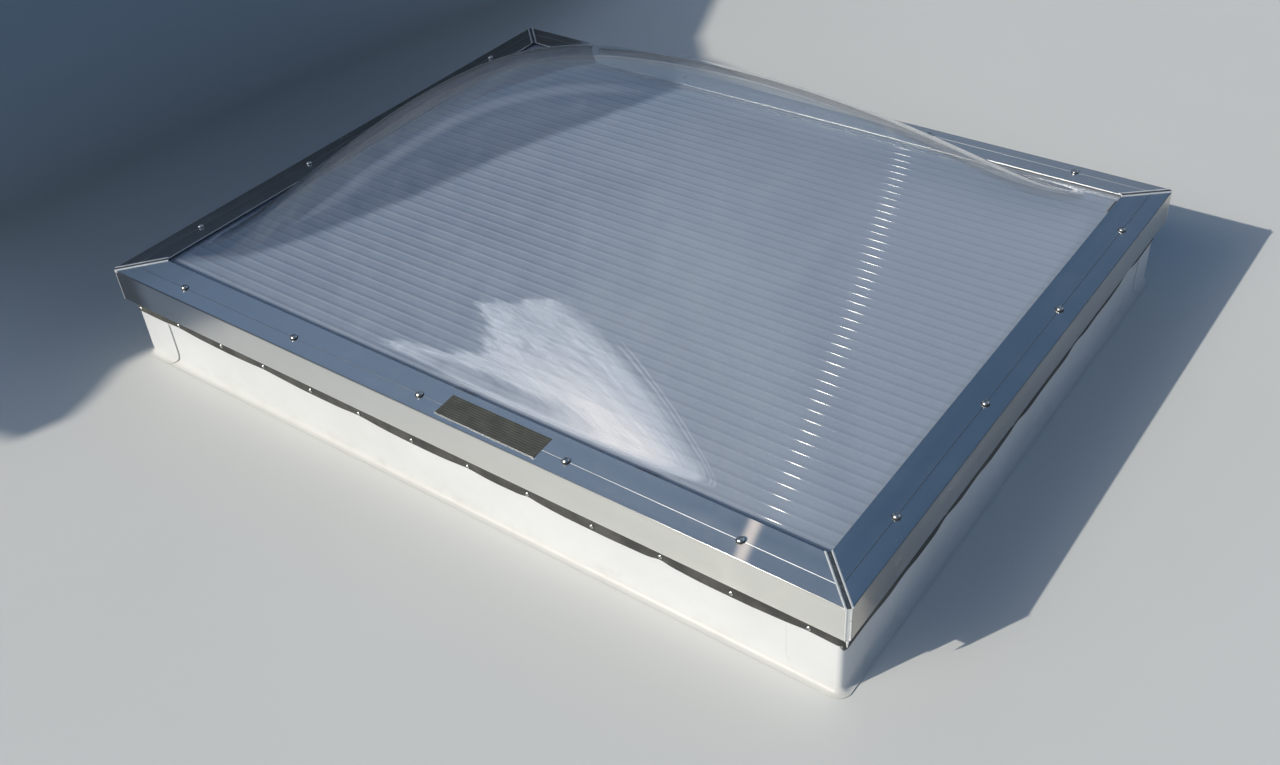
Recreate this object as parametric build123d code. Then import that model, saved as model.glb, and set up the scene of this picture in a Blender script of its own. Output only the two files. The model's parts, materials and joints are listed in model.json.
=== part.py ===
from build123d import *
import math
import os

# Roof skylight on its curb: a clear thermoformed dome over a flat multiwall
# panel, held down by a mitred aluminium cap frame, on a timber curb dressed in
# white roofing membrane.
# Frame: millimetres, +X along the long side, +Z up, origin at the bottom
# centre of the curb. "d" below is the distance inward from the datum outline of
# the cap frame, "s" the distance along a side.

os.makedirs("parts", exist_ok=True)

# ------------------------------------------------------------ driving sizes
CAP_L = 1308.0            # datum outline of the cap frame along X
CAP_W = 1029.0            # and along Y
CAP_OUT = 2.5             # the skirt's outer face stands this far outside it
CORNER_CUT = 6.6          # legs of the flat across each vertical corner
CAP_TOP = 170.0           # inner top edge of the cap flange above the roof line
CAP_FLANGE = 57.1         # datum outline to the flange's inner edge, in plan
CAP_FALL = 4.7            # fall of the flange from its inner to its outer edge
CAP_T = 1.6               # metal thickness of the cap angle
SKIRT_BOTTOM = 112.0      # lower edge of the skirt
CAP_NOSE_R = 0.5          # outside radius of the bend
GROOVE_D = 22.5           # drill-guide groove and screw line
GROOVE_W = 0.7
GROOVE_H = 0.35

BEAD_WEB_R = 16.25        # low web over a mitre: radius and height above the metal
BEAD_WEB_H = 0.5
BEAD_OFF = 4.0            # two ridges, one each side of the mitre
BEAD_RIDGE_R = 1.5
BEAD_RIDGE_IN = 0.35
BEAD_POST_OFF = 3.1       # the same bead down the flat corner: ridges each side
BEAD_POST_R = 1.1
BEAD_POST_H = 0.4
BEAD_TIP_R = 2.3          # tip below the skirt: radius at its top, and length
BEAD_TIPS = {"front_left": 1.0, "front_right": 12.0, "back_left": 5.0, "back_right": 6.0}

DOME_A = 589.0            # half length and half width where the dome leaves its flange
DOME_C = 449.5
DOME_RISE = 240.0         # free height term of the blown form
DOME_POWER = 0.9877
DOME_K1, DOME_K2, DOME_K3 = 0.4587, 0.2227, 0.2713
DOME_FOOT_R = 9.35        # radius where the wall turns up from the flange
DOME_LIFT = 4.4
DOME_T = 3.2              # acrylic thickness
DOME_FLANGE_Z = 165.6     # top of the dome flange
DOME_FLANGE_D = 30.0      # outer edge of the dome flange

PANEL_Z = 145.6           # underside of the multiwall panel
PANEL_H = 16.0
PANEL_PITCH = 20.0
PANEL_CELLS = 48
PANEL_SKIN = 1.2
PANEL_RIB = 1.0
PANEL_MID = 0.6
PANEL_X = 623.2           # half length
CLOSURE_T = 0.8

BOARD_T = 38.0            # curb boards, nominal two by six
BOARD_H = 140.0
BOARD_D = 12.0            # outer face of the boards
BOARD_R = 6.5             # eased outer corner of the curb
SEAL_T = 3.0              # foam between curb and inner frame, compressed
FRAME_Z = BOARD_H + SEAL_T
FRAME_T = 1.8
FRAME_WALL = 2.0
RACEWAY = 4.9             # slot that takes the cap screws
RACEWAY_TOP = 162.6
GUTTER_D = 66.0           # inner face of the condensation gutter
GUTTER_Z = 118.4
GUTTER_LIP = 128.0
GUTTER_T = 1.6
KEY_LEG = 50.0
KEY_H = 12.0

MEM_T = 1.5               # roofing membrane
MEM_TOP = 138.0
COVE_R = 10.0             # cove at the foot of the membrane
FOOT_T = 1.5
PATCH_T = 0.9             # corner patch
PATCH_X = 75.0
PATCH_Y = 62.0
PATCH_TOP = 84.0
PATCH_SIDE_TOP = {"front_right": 76.8, "back_right": 79.2}  # lower there, below the deeper strip

STRIP_T = 3.0             # dark rubber edge strip
STRIP_TOP = 131.0

SCREW_HEAD_R = 5.0        # cap screws
SCREW_HEAD_H = 3.4
SCREW_R = 2.4
SCREW_LEN = 18.0
WASHER_R = 5.8
WASHER_UP = 1.1
SMALL_HEAD_R = 3.2        # strip screws
SMALL_HEAD_H = 2.2
SMALL_R = 2.0
SMALL_LEN = 28.0
FRAME_SCREW_Z = 133.0
NAIL_R = 2.0
NAIL_HEAD_R = 4.0
NAIL_LEN = 90.0
FIT = 0.05                # radial clearance round a shank in its own hole

PLATE_S = (30.0, 201.0)   # bare data plate on the front flange
PLATE_D = (8.0, 47.0)
PLATE_T = 0.5

GASKET_TABS = {           # short gasket tabs that show past the flange's inner edge
    "front": [(19.0, 53.0), (322.0, 354.0)],
    "right": [(403.0, 438.0)],
}
TAB_D = 60.5

CAP_SCREWS = {
    "front": [-508.0, -262.0, -13.0, 240.0, 499.0],
    "back": [-505.0, -255.0, 2.0, 252.0, 507.0],
    "left": [-360.0, -120.0, 121.0, 364.0],
    "right": [-362.0, -118.0, 124.0, 363.0],
}
STRIP_SCREWS = {          # place along the side, height
    "front": [(-630, 94.0), (-535, 95.3), (-433, 95.0), (-337, 94.1), (-235, 91.3), (-135, 91.3),
              (-32, 88.1), (73, 89.9), (178, 91.4), (284, 88.9), (391, 93.7), (494, 88.9), (600, 92.6)],
    "back": [(-604, 92.5), (-500, 91.0), (-398, 90.0), (-297, 93.0), (-193, 90.5), (-90, 91.2),
             (12, 89.5), (114, 92.4), (217, 91.0), (318, 90.2), (421, 93.2), (524, 90.6), (622, 92.8)],
    "left": [(-458, 93.0), (-356, 91.5), (-254, 90.0), (-150, 92.6), (-49, 90.2), (53, 91.8),
             (156, 89.6), (257, 92.4), (361, 90.8), (460, 92.6)],
    "right": [(-455, 92.6), (-352, 91.0), (-250, 90.4), (-148, 93.0), (-48, 89.8), (55, 91.2),
              (155, 90.4), (258, 92.8), (360, 91.0), (458, 92.4)],
}
STRIP_EDGE = {            # lower edge of the rubber strip, drawn up at the screws
    "front": [(-680, 87.7), (-642, 87.7), (-600, 87.5), (-565, 88.2), (-545, 89.6), (-520, 88.8),
              (-492, 86.6), (-464, 85.8), (-422, 85.0), (-394, 85.5), (-366, 86.3), (-345, 87.5),
              (-325, 87.1), (-299, 85.6), (-273, 84.3), (-235, 83.5), (-197, 83.8), (-171, 84.4),
              (-146, 86.2), (-122, 85.7), (-99, 83.5), (-75, 82.2), (-41, 81.5), (-6, 81.4),
              (28, 82.2), (50, 83.8), (72, 85.5), (94, 83.7), (125, 82.4), (147, 82.9), (167, 84.0),
              (178, 86.2), (190, 84.6), (208, 82.6), (238, 80.9), (277, 80.7), (315, 80.8),
              (353, 82.2), (378, 84.4), (390, 87.0), (402, 84.8), (420, 83.0), (443, 81.6),
              (486, 81.4), (520, 81.7), (553, 83.4), (578, 85.2), (596, 87.0), (612, 86.6),
              (643, 85.5), (680, 85.5)],
    "back": [(-680, 85.5), (-643, 85.5), (-604, 87.2), (-560, 83.6), (-500, 82.6), (-450, 82.8),
             (-398, 84.0), (-340, 84.2), (-297, 87.4), (-250, 83.4), (-193, 82.2), (-140, 83.6),
             (-90, 86.4), (-40, 83.0), (12, 81.6), (66, 83.2), (114, 87.0), (165, 83.0), (217, 82.0),
             (270, 82.6), (318, 83.4), (370, 84.6), (421, 87.6), (470, 83.4), (524, 82.4), (575, 84.6),
             (622, 87.0), (643, 86.0), (680, 86.0)],
    "left": [(-560, 87.7), (-504, 87.7), (-458, 87.4), (-408, 83.6), (-356, 82.4), (-304, 83.0),
             (-254, 84.0), (-203, 84.2), (-150, 87.2), (-100, 83.4), (-49, 82.2), (2, 83.8),
             (53, 86.8), (105, 83.2), (156, 81.8), (206, 83.6), (257, 87.0), (310, 83.6), (361, 82.6),
             (412, 84.2), (460, 86.8), (504, 85.5), (560, 85.5)],
    "right": [(-560, 77.0), (-504, 77.5), (-455, 78.4), (-426, 76.2), (-400, 73.8), (-352, 76.0),
              (-325, 72.8), (-300, 72.8), (-270, 74.0), (-250, 79.0), (-226, 76.6), (-200, 74.0),
              (-172, 75.6), (-148, 76.4), (-120, 73.4), (-90, 73.6), (-62, 75.0), (-46, 77.0),
              (-28, 79.2), (-12, 76.4), (24, 73.8), (55, 75.4), (90, 75.4), (128, 74.8), (150, 76.4),
              (172, 81.6), (188, 80.6), (208, 77.4), (235, 77.2), (258, 78.6), (300, 77.0), (330, 78.0),
              (350, 79.6), (386, 86.0), (406, 82.4), (430, 79.6), (458, 80.2), (504, 81.5), (560, 82.0)],
}
FRAME_SCREWS = {
    "front": [-560.0, -280.0, 0.0, 280.0, 560.0],
    "back": [-560.0, -280.0, 0.0, 280.0, 560.0],
    "left": [-360.0, 0.0, 360.0],
    "right": [-360.0, 0.0, 360.0],
}
NAIL_Z = (25.0, 70.0, 113.0)

HX, HY = CAP_L / 2, CAP_W / 2
OX, OY = HX + CAP_OUT, HY + CAP_OUT
CORNERS = {"front_left": (-1, -1), "front_right": (1, -1), "back_left": (-1, 1), "back_right": (1, 1)}
SIDES = ("front", "back", "left", "right")
SPAN = {"front": HX, "back": HX, "left": HY, "right": HY}
CAP_TV = CAP_T * math.hypot(CAP_FLANGE, CAP_FALL) / CAP_FLANGE


def z_top(d):
    """upper face of the cap flange"""
    return CAP_TOP - CAP_FALL * (CAP_FLANGE - d) / CAP_FLANGE


def z_under(d):
    """lower face of the cap flange"""
    return z_top(d) - CAP_TV


# ------------------------------------------------------------------ helpers
def at(side, s, d, z):
    if side == "front":
        return Vector(s, -HY + d, z)
    if side == "back":
        return Vector(s, HY - d, z)
    if side == "left":
        return Vector(-HX + d, s, z)
    return Vector(HX - d, s, z)


def along(side):
    return Vector(1, 0, 0) if side in ("front", "back") else Vector(0, 1, 0)


def inward(side):
    return {"front": Vector(0, 1, 0), "back": Vector(0, -1, 0),
            "left": Vector(1, 0, 0), "right": Vector(-1, 0, 0)}[side]


def outline(points, radii, place):
    """closed wire through section points, corner i rounded by radii[i]"""
    n = len(points)
    corners = []
    for i, p in enumerate(points):
        r = radii.get(i, 0.0)
        if r <= 0:
            corners.append((p, None, p))
            continue
        a, b = points[i - 1], points[(i + 1) % n]
        la, lb = math.dist(a, p), math.dist(b, p)
        ua = ((a[0] - p[0]) / la, (a[1] - p[1]) / la)
        ub = ((b[0] - p[0]) / lb, (b[1] - p[1]) / lb)
        half = math.acos(max(-1, min(1, ua[0] * ub[0] + ua[1] * ub[1]))) / 2
        t = r / math.tan(half)
        bis = (ua[0] + ub[0], ua[1] + ub[1])
        lbis = math.hypot(*bis)
        reach = r / math.sin(half) - r
        mid = (p[0] + bis[0] / lbis * reach, p[1] + bis[1] / lbis * reach)
        corners.append(((p[0] + ua[0] * t, p[1] + ua[1] * t), mid,
                        (p[0] + ub[0] * t, p[1] + ub[1] * t)))
    edges = []
    for i, (pa, mid, pb) in enumerate(corners):
        if mid is not None:
            edges.append(Edge.make_three_point_arc(place(pa), place(mid), place(pb)))
        nxt = corners[(i + 1) % n][0]
        edges.append(Edge.make_line(place(pb), place(nxt)))
    return Wire(edges)


def wedge(side, reach=150.0, over=40.0):
    """the part of the plan that belongs to one side, between its two mitres"""
    if side in ("front", "back"):
        pts = [(-HX - over, -HY - over), (HX + over, -HY - over),
               (HX - reach, -HY + reach), (-HX + reach, -HY + reach)]
    else:
        pts = [(-HX - over, -HY - over), (-HX - over, HY + over),
               (-HX + reach, HY - reach), (-HX + reach, -HY + reach)]
    if side == "back":
        pts = [(x, -y) for x, y in pts]
    if side == "right":
        pts = [(-x, y) for x, y in pts]
    w = Wire.make_polygon([Vector(x, y, -20) for x, y in pts], close=True)
    return Solid.extrude(Face(w), Vector(0, 0, 520))


def one(shape):
    s = shape.solids()
    if len(s) != 1:
        raise ValueError("expected one solid, got %d" % len(s))
    return s[0]


def mitred(side, points, radii=None):
    """section run along a side and cut at 45 degrees at both ends"""
    s0 = -SPAN[side] - 30
    w = outline(points, radii or {}, lambda p: at(side, s0, p[0], p[1]))
    bar = Solid.extrude(Face(w), along(side) * (2 * SPAN[side] + 60))
    return one(bar & wedge(side))


def straight(side, s0, s1, points, radii=None):
    """section run along a side between two places, cut square"""
    w = outline(points, radii or {}, lambda p: at(side, s0, p[0], p[1]))
    return Solid.extrude(Face(w), along(side) * (s1 - s0))


def rect(d0, d1, z0, z1):
    return [(d0, z0), (d1, z0), (d1, z1), (d0, z1)]


def block(x0, x1, y0, y1, z0, z1):
    return Pos((x0 + x1) / 2, (y0 + y1) / 2, (z0 + z1) / 2) * Solid.make_box(
        x1 - x0, y1 - y0, z1 - z0, Plane((-(x1 - x0) / 2, -(y1 - y0) / 2, -(z1 - z0) / 2)))


def rod(base, axis, radius, length):
    return Solid.make_cylinder(radius, length, Plane(origin=base, z_dir=axis))


def corner_cuts(off=0.0):
    """what lies outside the flat across each vertical corner, the flat moved out by off"""
    k = CORNER_CUT - off * math.sqrt(2)
    cuts = []
    for sx, sy in CORNERS.values():
        pts = [(OX + 9, OY - k - 9), (OX + 9, OY + 9), (OX - k - 9, OY + 9)]
        w = Wire.make_polygon([Vector(sx * x, sy * y, 60) for x, y in pts], close=True)
        cuts.append(Solid.extrude(Face(w), Vector(0, 0, 180)))
    return cuts


def pan_screw(head_r, head_h, shank_r, length, slot_w, slot_l, slot_deep):
    """pan head above the origin, shank below it with a point, cross recess"""
    side_h = head_h * 0.45
    e = [
        Edge.make_line((0, 0, -length), (shank_r, 0, -length + 1.4 * shank_r)),
        Edge.make_line((shank_r, 0, -length + 1.4 * shank_r), (shank_r, 0, 0)),
        Edge.make_line((shank_r, 0, 0), (head_r, 0, 0)),
        Edge.make_line((head_r, 0, 0), (head_r * 0.985, 0, side_h)),
        Edge.make_three_point_arc((head_r * 0.985, 0, side_h),
                                  (head_r * 0.66, 0, head_h * 0.89), (0, 0, head_h)),
        Edge.make_line((0, 0, head_h), (0, 0, -length)),
    ]
    body = Solid.revolve(Face(Wire(e)), 360, Axis.Z)
    if slot_w > 0:
        a = block(-slot_l / 2, slot_l / 2, -slot_w / 2, slot_w / 2, head_h - slot_deep, head_h + 2)
        b = block(-slot_w / 2, slot_w / 2, -slot_l / 2, slot_l / 2, head_h - slot_deep, head_h + 2)
        body = one(body - a - b)
    return body


def seat(shape, origin, axis, turn=0.0):
    """put a fastener drawn along +Z at a place, its head pointing along axis"""
    return Plane(origin=origin, z_dir=axis).location * Rot(0, 0, turn) * shape


PARTS = {}


def keep(name, shapes):
    shapes = shapes if isinstance(shapes, list) else [shapes]
    PARTS[name] = shapes


# --------------------------------------------------------------- cap frame
cap_section = [
    (-CAP_OUT, SKIRT_BOTTOM), (CAP_T - CAP_OUT, SKIRT_BOTTOM), (CAP_T - CAP_OUT, z_under(CAP_T - CAP_OUT)),
    (CAP_FLANGE, z_under(CAP_FLANGE)), (CAP_FLANGE, z_top(CAP_FLANGE)),
    (GROOVE_D + GROOVE_W / 2, z_top(GROOVE_D + GROOVE_W / 2)),
    (GROOVE_D, z_top(GROOVE_D) - GROOVE_H),
    (GROOVE_D - GROOVE_W / 2, z_top(GROOVE_D - GROOVE_W / 2)),
    (-CAP_OUT, z_top(-CAP_OUT)),
]
for side in SIDES:
    rail = mitred(side, cap_section, {8: CAP_NOSE_R, 4: 0.4, 2: 1.0})
    holes = [rod(at(side, s, GROOVE_D, 150), (0, 0, 1), SCREW_R + 0.3, 30) for s in CAP_SCREWS[side]]
    keep("cap_rail_" + side, one(rail - holes - corner_cuts()))

# solid envelope under the sloping flange, used to lay beads and washers on it
slope_wires = [Wire.make_polygon([Vector(-a, -b, z), Vector(a, -b, z), Vector(a, b, z), Vector(-a, b, z)],
                                 close=True)
               for a, b, z in ((OX, OY, z_top(-CAP_OUT)), (HX - CAP_FLANGE, HY - CAP_FLANGE, CAP_TOP))]
envelope = Solid.make_loft(slope_wires, ruled=True) + block(-OX, OX, -OY, OY, SKIRT_BOTTOM, z_top(-CAP_OUT))
envelope = envelope - corner_cuts()
opening = block(-HX + CAP_FLANGE, HX - CAP_FLANGE, -HY + CAP_FLANGE, HY - CAP_FLANGE, 150, 220)
outer_limit = block(-OX - 0.8, OX + 0.8, -OY - 0.8, OY + 0.8, z_top(-CAP_OUT) - 1.4, 220) - corner_cuts(0.9)

for name, (sx, sy) in CORNERS.items():
    outer = Vector(sx * OX, sy * OY, z_top(-CAP_OUT))
    inner = Vector(sx * (HX - CAP_FLANGE), sy * (HY - CAP_FLANGE), CAP_TOP)
    run = outer - inner
    start = inner - run * 0.05
    top = rod(start - Vector(0, 0, BEAD_WEB_R - BEAD_WEB_H), run.normalized(), BEAD_WEB_R, run.length * 1.08)
    aside = Vector(sx, -sy, 0).normalized()
    for way in (-1, 1):
        top = top + rod(start + aside * BEAD_OFF * way - Vector(0, 0, BEAD_RIDGE_IN), run.normalized(), BEAD_RIDGE_R,
                        run.length * 1.08)
    # down the corner: a thin web on the flat, a ridge each side and a pointed tip
    out = Vector(sx, sy, 0).normalized()
    mid = Vector(sx * (OX - CORNER_CUT / 2), sy * (OY - CORNER_CUT / 2), SKIRT_BOTTOM - 0.8)
    tall = z_top(-CAP_OUT) - SKIRT_BOTTOM + 1.1
    web = [mid + aside * BEAD_POST_OFF * a + out * b for a, b in ((-1, -0.6), (1, -0.6), (1, BEAD_POST_H), (-1, BEAD_POST_H))]
    post = Solid.extrude(Face(Wire.make_polygon(web, close=True)), Vector(0, 0, tall))
    for way in (-1, 1):
        post = post + rod(mid + aside * BEAD_POST_OFF * way, (0, 0, 1), BEAD_POST_R, tall)
    tip = BEAD_TIPS[name]
    post = post + Solid.make_cone(0.5, BEAD_TIP_R, tip, Plane(origin=mid - Vector(0, 0, tip - 0.4), z_dir=(0, 0, 1)))
    bead = (((top & outer_limit) - opening) + post) - envelope
    solids = sorted(bead.solids(), key=lambda q: -q.volume)
    keep("mitre_bead_" + name, solids[0])

# ---------------------------------------------------------------- cap screws
cap_screw = pan_screw(SCREW_HEAD_R, SCREW_HEAD_H, SCREW_R, SCREW_LEN, 1.1, 4.8, 1.5)
screws, washers = [], []
for side in SIDES:
    under = straight(side, -SPAN[side], SPAN[side],
                     [(-2, 120), (CAP_FLANGE + 4, 120), (CAP_FLANGE + 4, z_top(CAP_FLANGE + 4)), (-2, z_top(-2))])
    z_seat = z_top(GROOVE_D) + WASHER_UP
    for i, s in enumerate(CAP_SCREWS[side]):
        screws.append(seat(cap_screw, at(side, s, GROOVE_D, z_seat), (0, 0, 1), 25 + 37 * i))
        ring = rod(at(side, s, GROOVE_D, z_seat - 5), (0, 0, 1), WASHER_R, 5) - \
            rod(at(side, s, GROOVE_D, z_seat - 6), (0, 0, 1), SCREW_R + FIT, 8)
        washers.append(one(ring - under))
keep("cap_screws", screws)
keep("cap_screw_washers", washers)

# ----------------------------------------------------------------- data plate
tn = PLATE_T * CAP_TV / CAP_T
keep("data_plate", straight("front", PLATE_S[0], PLATE_S[1],
                            [(PLATE_D[0], z_top(PLATE_D[0])), (PLATE_D[1], z_top(PLATE_D[1])),
                             (PLATE_D[1], z_top(PLATE_D[1]) + tn), (PLATE_D[0], z_top(PLATE_D[0]) + tn)]))

# ----------------------------------------------------------------------- dome


def dome_height(x, y):
    """height of the outer face above the flange"""
    u = min(abs(x) / DOME_A, 1.0)
    v = min(abs(y) / DOME_C, 1.0)
    q = (1 - u * u) * (1 - v * v) * (1 + DOME_K1 * u * u + DOME_K2 * v * v + DOME_K3 * u * u * v * v)
    g = DOME_RISE * max(q, 0.0) ** DOME_POWER
    g += DOME_LIFT * (1 - math.exp(-g / 12.0))
    return math.sqrt(g * g + DOME_FOOT_R ** 2) - DOME_FOOT_R


def dome_nodes(foot, n):
    pos = [foot * math.sin(math.pi / 2 * i / n) for i in range(n + 1)]
    return [-p for p in reversed(pos[1:])] + pos


def dome_inside(x, y, e=0.5):
    if abs(x) > DOME_A - 1e-6 or abs(y) > DOME_C - 1e-6:
        return -DOME_T
    sx = (dome_height(x + e, y) - dome_height(x - e, y)) / (2 * e)
    sy = (dome_height(x, y + e) - dome_height(x, y - e)) / (2 * e)
    return dome_height(x, y) - DOME_T * math.sqrt(1 + sx * sx + sy * sy)


def plan_loop(x, y, z):
    return Wire.make_polygon([Vector(-x, -y, z), Vector(x, -y, z), Vector(x, y, z), Vector(-x, y, z)], close=True)


xs = dome_nodes(DOME_A, 22)
ys = dome_nodes(DOME_C, 18)
FX, FY = HX - DOME_FLANGE_D, HY - DOME_FLANGE_D
zf0, zf1 = DOME_FLANGE_Z - DOME_T, DOME_FLANGE_Z
dome_faces = [
    Face.make_surface_from_array_of_points(
        [[(x, y, zf1 + dome_height(x, y)) for y in ys] for x in xs], tol=0.02),
    Face.make_surface_from_array_of_points(
        [[(x, y, zf1 + dome_inside(x, y)) for y in ys] for x in xs], tol=0.02),
    Face(plan_loop(FX, FY, zf1), [plan_loop(DOME_A, DOME_C, zf1)]),
    Face(plan_loop(FX, FY, zf0), [plan_loop(DOME_A, DOME_C, zf0)]),
]
ends = [(-FX, -FY), (FX, -FY), (FX, FY), (-FX, FY)]
for i in range(4):
    a, b = ends[i], ends[(i + 1) % 4]
    dome_faces.append(Face(Wire.make_polygon(
        [Vector(*a, zf0), Vector(*b, zf0), Vector(*b, zf1), Vector(*a, zf1)], close=True)))
keep("dome", Solid(Shell(Face.sew_faces(dome_faces)[0])))

# ------------------------------------------------------------ multiwall panel
half_y = PANEL_PITCH * PANEL_CELLS / 2
pw = half_y + PANEL_RIB / 2
lo, hi = PANEL_Z, PANEL_Z + PANEL_H
cell_h = (PANEL_H - 2 * PANEL_SKIN - PANEL_MID) / 2


def yz_loop(y0, y1, z0, z1):
    return Wire.make_polygon([Vector(-PANEL_X, y0, z0), Vector(-PANEL_X, y1, z0),
                              Vector(-PANEL_X, y1, z1), Vector(-PANEL_X, y0, z1)], close=True)


cells = []
for k in range(PANEL_CELLS):
    y0 = -half_y + PANEL_PITCH * k + PANEL_RIB / 2
    y1 = y0 + PANEL_PITCH - PANEL_RIB
    cells.append(yz_loop(y0, y1, lo + PANEL_SKIN, lo + PANEL_SKIN + cell_h))
    cells.append(yz_loop(y0, y1, hi - PANEL_SKIN - cell_h, hi - PANEL_SKIN))
keep("multiwall_panel", Solid.extrude(Face(yz_loop(-pw, pw, lo, hi), cells), Vector(2 * PANEL_X, 0, 0)))
keep("panel_closure_left", block(-PANEL_X - CLOSURE_T, -PANEL_X, -pw, pw, lo, hi))
keep("panel_closure_right", block(PANEL_X, PANEL_X + CLOSURE_T, -pw, pw, lo, hi))

# ------------------------------------------------- tapes, gaskets and breaks
frame_top = FRAME_Z + FRAME_T
for side in SIDES:
    keep("panel_tape_" + side, mitred(side, rect(35, 49, frame_top, PANEL_Z)))
    keep("dome_tape_" + side, mitred(side, rect(35, 47, hi, DOME_FLANGE_Z - DOME_T - 0.03)))
    gasket = mitred(side, [(36, DOME_FLANGE_Z + 0.03), (55.5, DOME_FLANGE_Z + 0.03),
                           (55.5, z_under(55.5)), (36, z_under(36))])
    for s0, s1 in GASKET_TABS.get(side, []):
        gasket = gasket + straight(side, s0, s1, rect(55.2, TAB_D, DOME_FLANGE_Z + 0.03, z_under(CAP_FLANGE) - 0.20))
    keep("glazing_gasket_" + side, one(gasket))
    tb = mitred(side, [(17, RACEWAY_TOP), (28, RACEWAY_TOP), (28, z_under(28)), (17, z_under(17))])
    tb_holes = [rod(at(side, s, GROOVE_D, 150), (0, 0, 1), SCREW_R + 0.1, 30) for s in CAP_SCREWS[side]]
    keep("thermal_break_" + side, one(tb - tb_holes))
    keep("curb_seal_" + side, mitred(side, rect(13.5, 49.5, BOARD_H, FRAME_Z)))

# ----------------------------------------------------------- inner curb frame
r0 = GROOVE_D - RACEWAY / 2
r1 = GROOVE_D + RACEWAY / 2
leg = BOARD_D + BOARD_T + 0.5
frame_section = [
    (12.5, FRAME_Z), (12.5, frame_top), (r0 - FRAME_WALL, frame_top), (r0 - FRAME_WALL, RACEWAY_TOP),
    (r0, RACEWAY_TOP), (r0, frame_top), (r1, frame_top), (r1, RACEWAY_TOP),
    (r1 + FRAME_WALL, RACEWAY_TOP), (r1 + FRAME_WALL, frame_top), (leg + GUTTER_T, frame_top),
    (leg + GUTTER_T, GUTTER_Z + GUTTER_T), (GUTTER_D - GUTTER_T, GUTTER_Z + GUTTER_T),
    (GUTTER_D - GUTTER_T, GUTTER_LIP), (GUTTER_D, GUTTER_LIP), (GUTTER_D, GUTTER_Z),
    (leg, GUTTER_Z), (leg, FRAME_Z),
]
frame_screw = pan_screw(3.6, 2.3, SMALL_R, 26.0, 0.8, 3.2, 0.9)
frame_screws = []
board_holes = {s: [] for s in SIDES}
for side in SIDES:
    fr = mitred(side, frame_section)
    holes = []
    for s in FRAME_SCREWS[side]:
        p = at(side, s, leg + GUTTER_T, FRAME_SCREW_Z)
        frame_screws.append(seat(frame_screw, p, inward(side)))
        holes.append(rod(at(side, s, leg - 30, FRAME_SCREW_Z), inward(side), SMALL_R + FIT, 40))
    board_holes[side] += [rod(at(side, s, leg - 25.0, FRAME_SCREW_Z), inward(side), SMALL_R + FIT, 30)
                          for s in FRAME_SCREWS[side]]
    keep("curb_frame_" + side, one(fr - holes))
keep("curb_frame_screws", frame_screws)

keys = []
for sx in (-1, 1):
    for sy in (-1, 1):
        cx, cy = sx * (HX - GROOVE_D), sy * (HY - GROOVE_D)
        w = RACEWAY / 2 - 0.05
        a = block(min(cx + sx * w, cx - sx * KEY_LEG), max(cx + sx * w, cx - sx * KEY_LEG),
                  cy - w, cy + w, frame_top, frame_top + KEY_H)
        b = block(cx - w, cx + w, min(cy + sy * w, cy - sy * KEY_LEG), max(cy + sy * w, cy - sy * KEY_LEG),
                  frame_top, frame_top + KEY_H)
        keys.append(one(a + b))
keep("curb_frame_keys", keys)

# ------------------------------------------------------------ membrane blocks
CX, CY = HX - BOARD_D, HY - BOARD_D


def plan_block(half_x, half_y_, r, z0, z1):
    return Pos(0, 0, z0) * extrude(RectangleRounded(2 * half_x, 2 * half_y_, r), z1 - z0)


def dressed(o):
    """outside of the membrane, with its rounded corners and the cove at its foot"""
    a, b = CX + MEM_T + o, CY + MEM_T + o
    ft = FOOT_T + o
    wall = plan_block(a, b, BOARD_R + MEM_T + o, 0, MEM_TOP)
    foot = plan_block(CX + MEM_T + COVE_R, CY + MEM_T + COVE_R, BOARD_R + MEM_T + COVE_R, 0, ft)
    both = wall + foot
    ring = [e for e in both.edges()
            if abs(e.center().Z - ft) < 1e-6 and e.bounding_box().size.Z < 1e-6
            and max(abs(e.bounding_box().max.X), abs(e.bounding_box().min.X)) < a + 0.01
            and max(abs(e.bounding_box().max.Y), abs(e.bounding_box().min.Y)) < b + 0.01]
    return fillet(ring, COVE_R - 0.3 - o)


curb_core = plan_block(CX, CY, BOARD_R, -5, 200)
skin0 = dressed(0.0)
skin1 = dressed(PATCH_T)
sheet = skin0 - curb_core
strip_ring = plan_block(CX + MEM_T + STRIP_T, CY + MEM_T + STRIP_T, BOARD_R + MEM_T + STRIP_T, 60, STRIP_TOP) - \
    plan_block(CX + MEM_T, CY + MEM_T, BOARD_R + MEM_T, 50, 160)

strip_screw = pan_screw(SMALL_HEAD_R, SMALL_HEAD_H, SMALL_R, SMALL_LEN, 0.7, 3.0, 0.9)
small = []
strip_d = BOARD_D - MEM_T - STRIP_T
for side in SIDES:
    out = inward(side) * -1
    drills = []
    for i, (s, z) in enumerate(STRIP_SCREWS[side]):
        small.append(seat(strip_screw, at(side, s, strip_d, z), out, 20 + 31 * i))
        drills.append(rod(at(side, s, strip_d - 5, z), inward(side), SMALL_R + FIT, SMALL_LEN + 5.0))
    board_holes[side] += drills
    keep("membrane_" + side, one((sheet & wedge(side)) - drills))
    low = STRIP_EDGE[side]
    sp = Edge.make_spline([at(side, s, -6, z) for s, z in low])
    p0, p1 = at(side, low[0][0], -6, low[0][1]), at(side, low[-1][0], -6, low[-1][1])
    q0, q1 = at(side, low[0][0], -6, 150), at(side, low[-1][0], -6, 150)
    wavy = Face(Wire([sp, Edge.make_line(p1, q1), Edge.make_line(q1, q0), Edge.make_line(q0, p0)]))
    wave = Solid.extrude(wavy, inward(side) * 60)
    keep("edge_strip_" + side, one(((strip_ring & wave) & wedge(side)) - drills))
keep("strip_screws", small)

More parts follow.
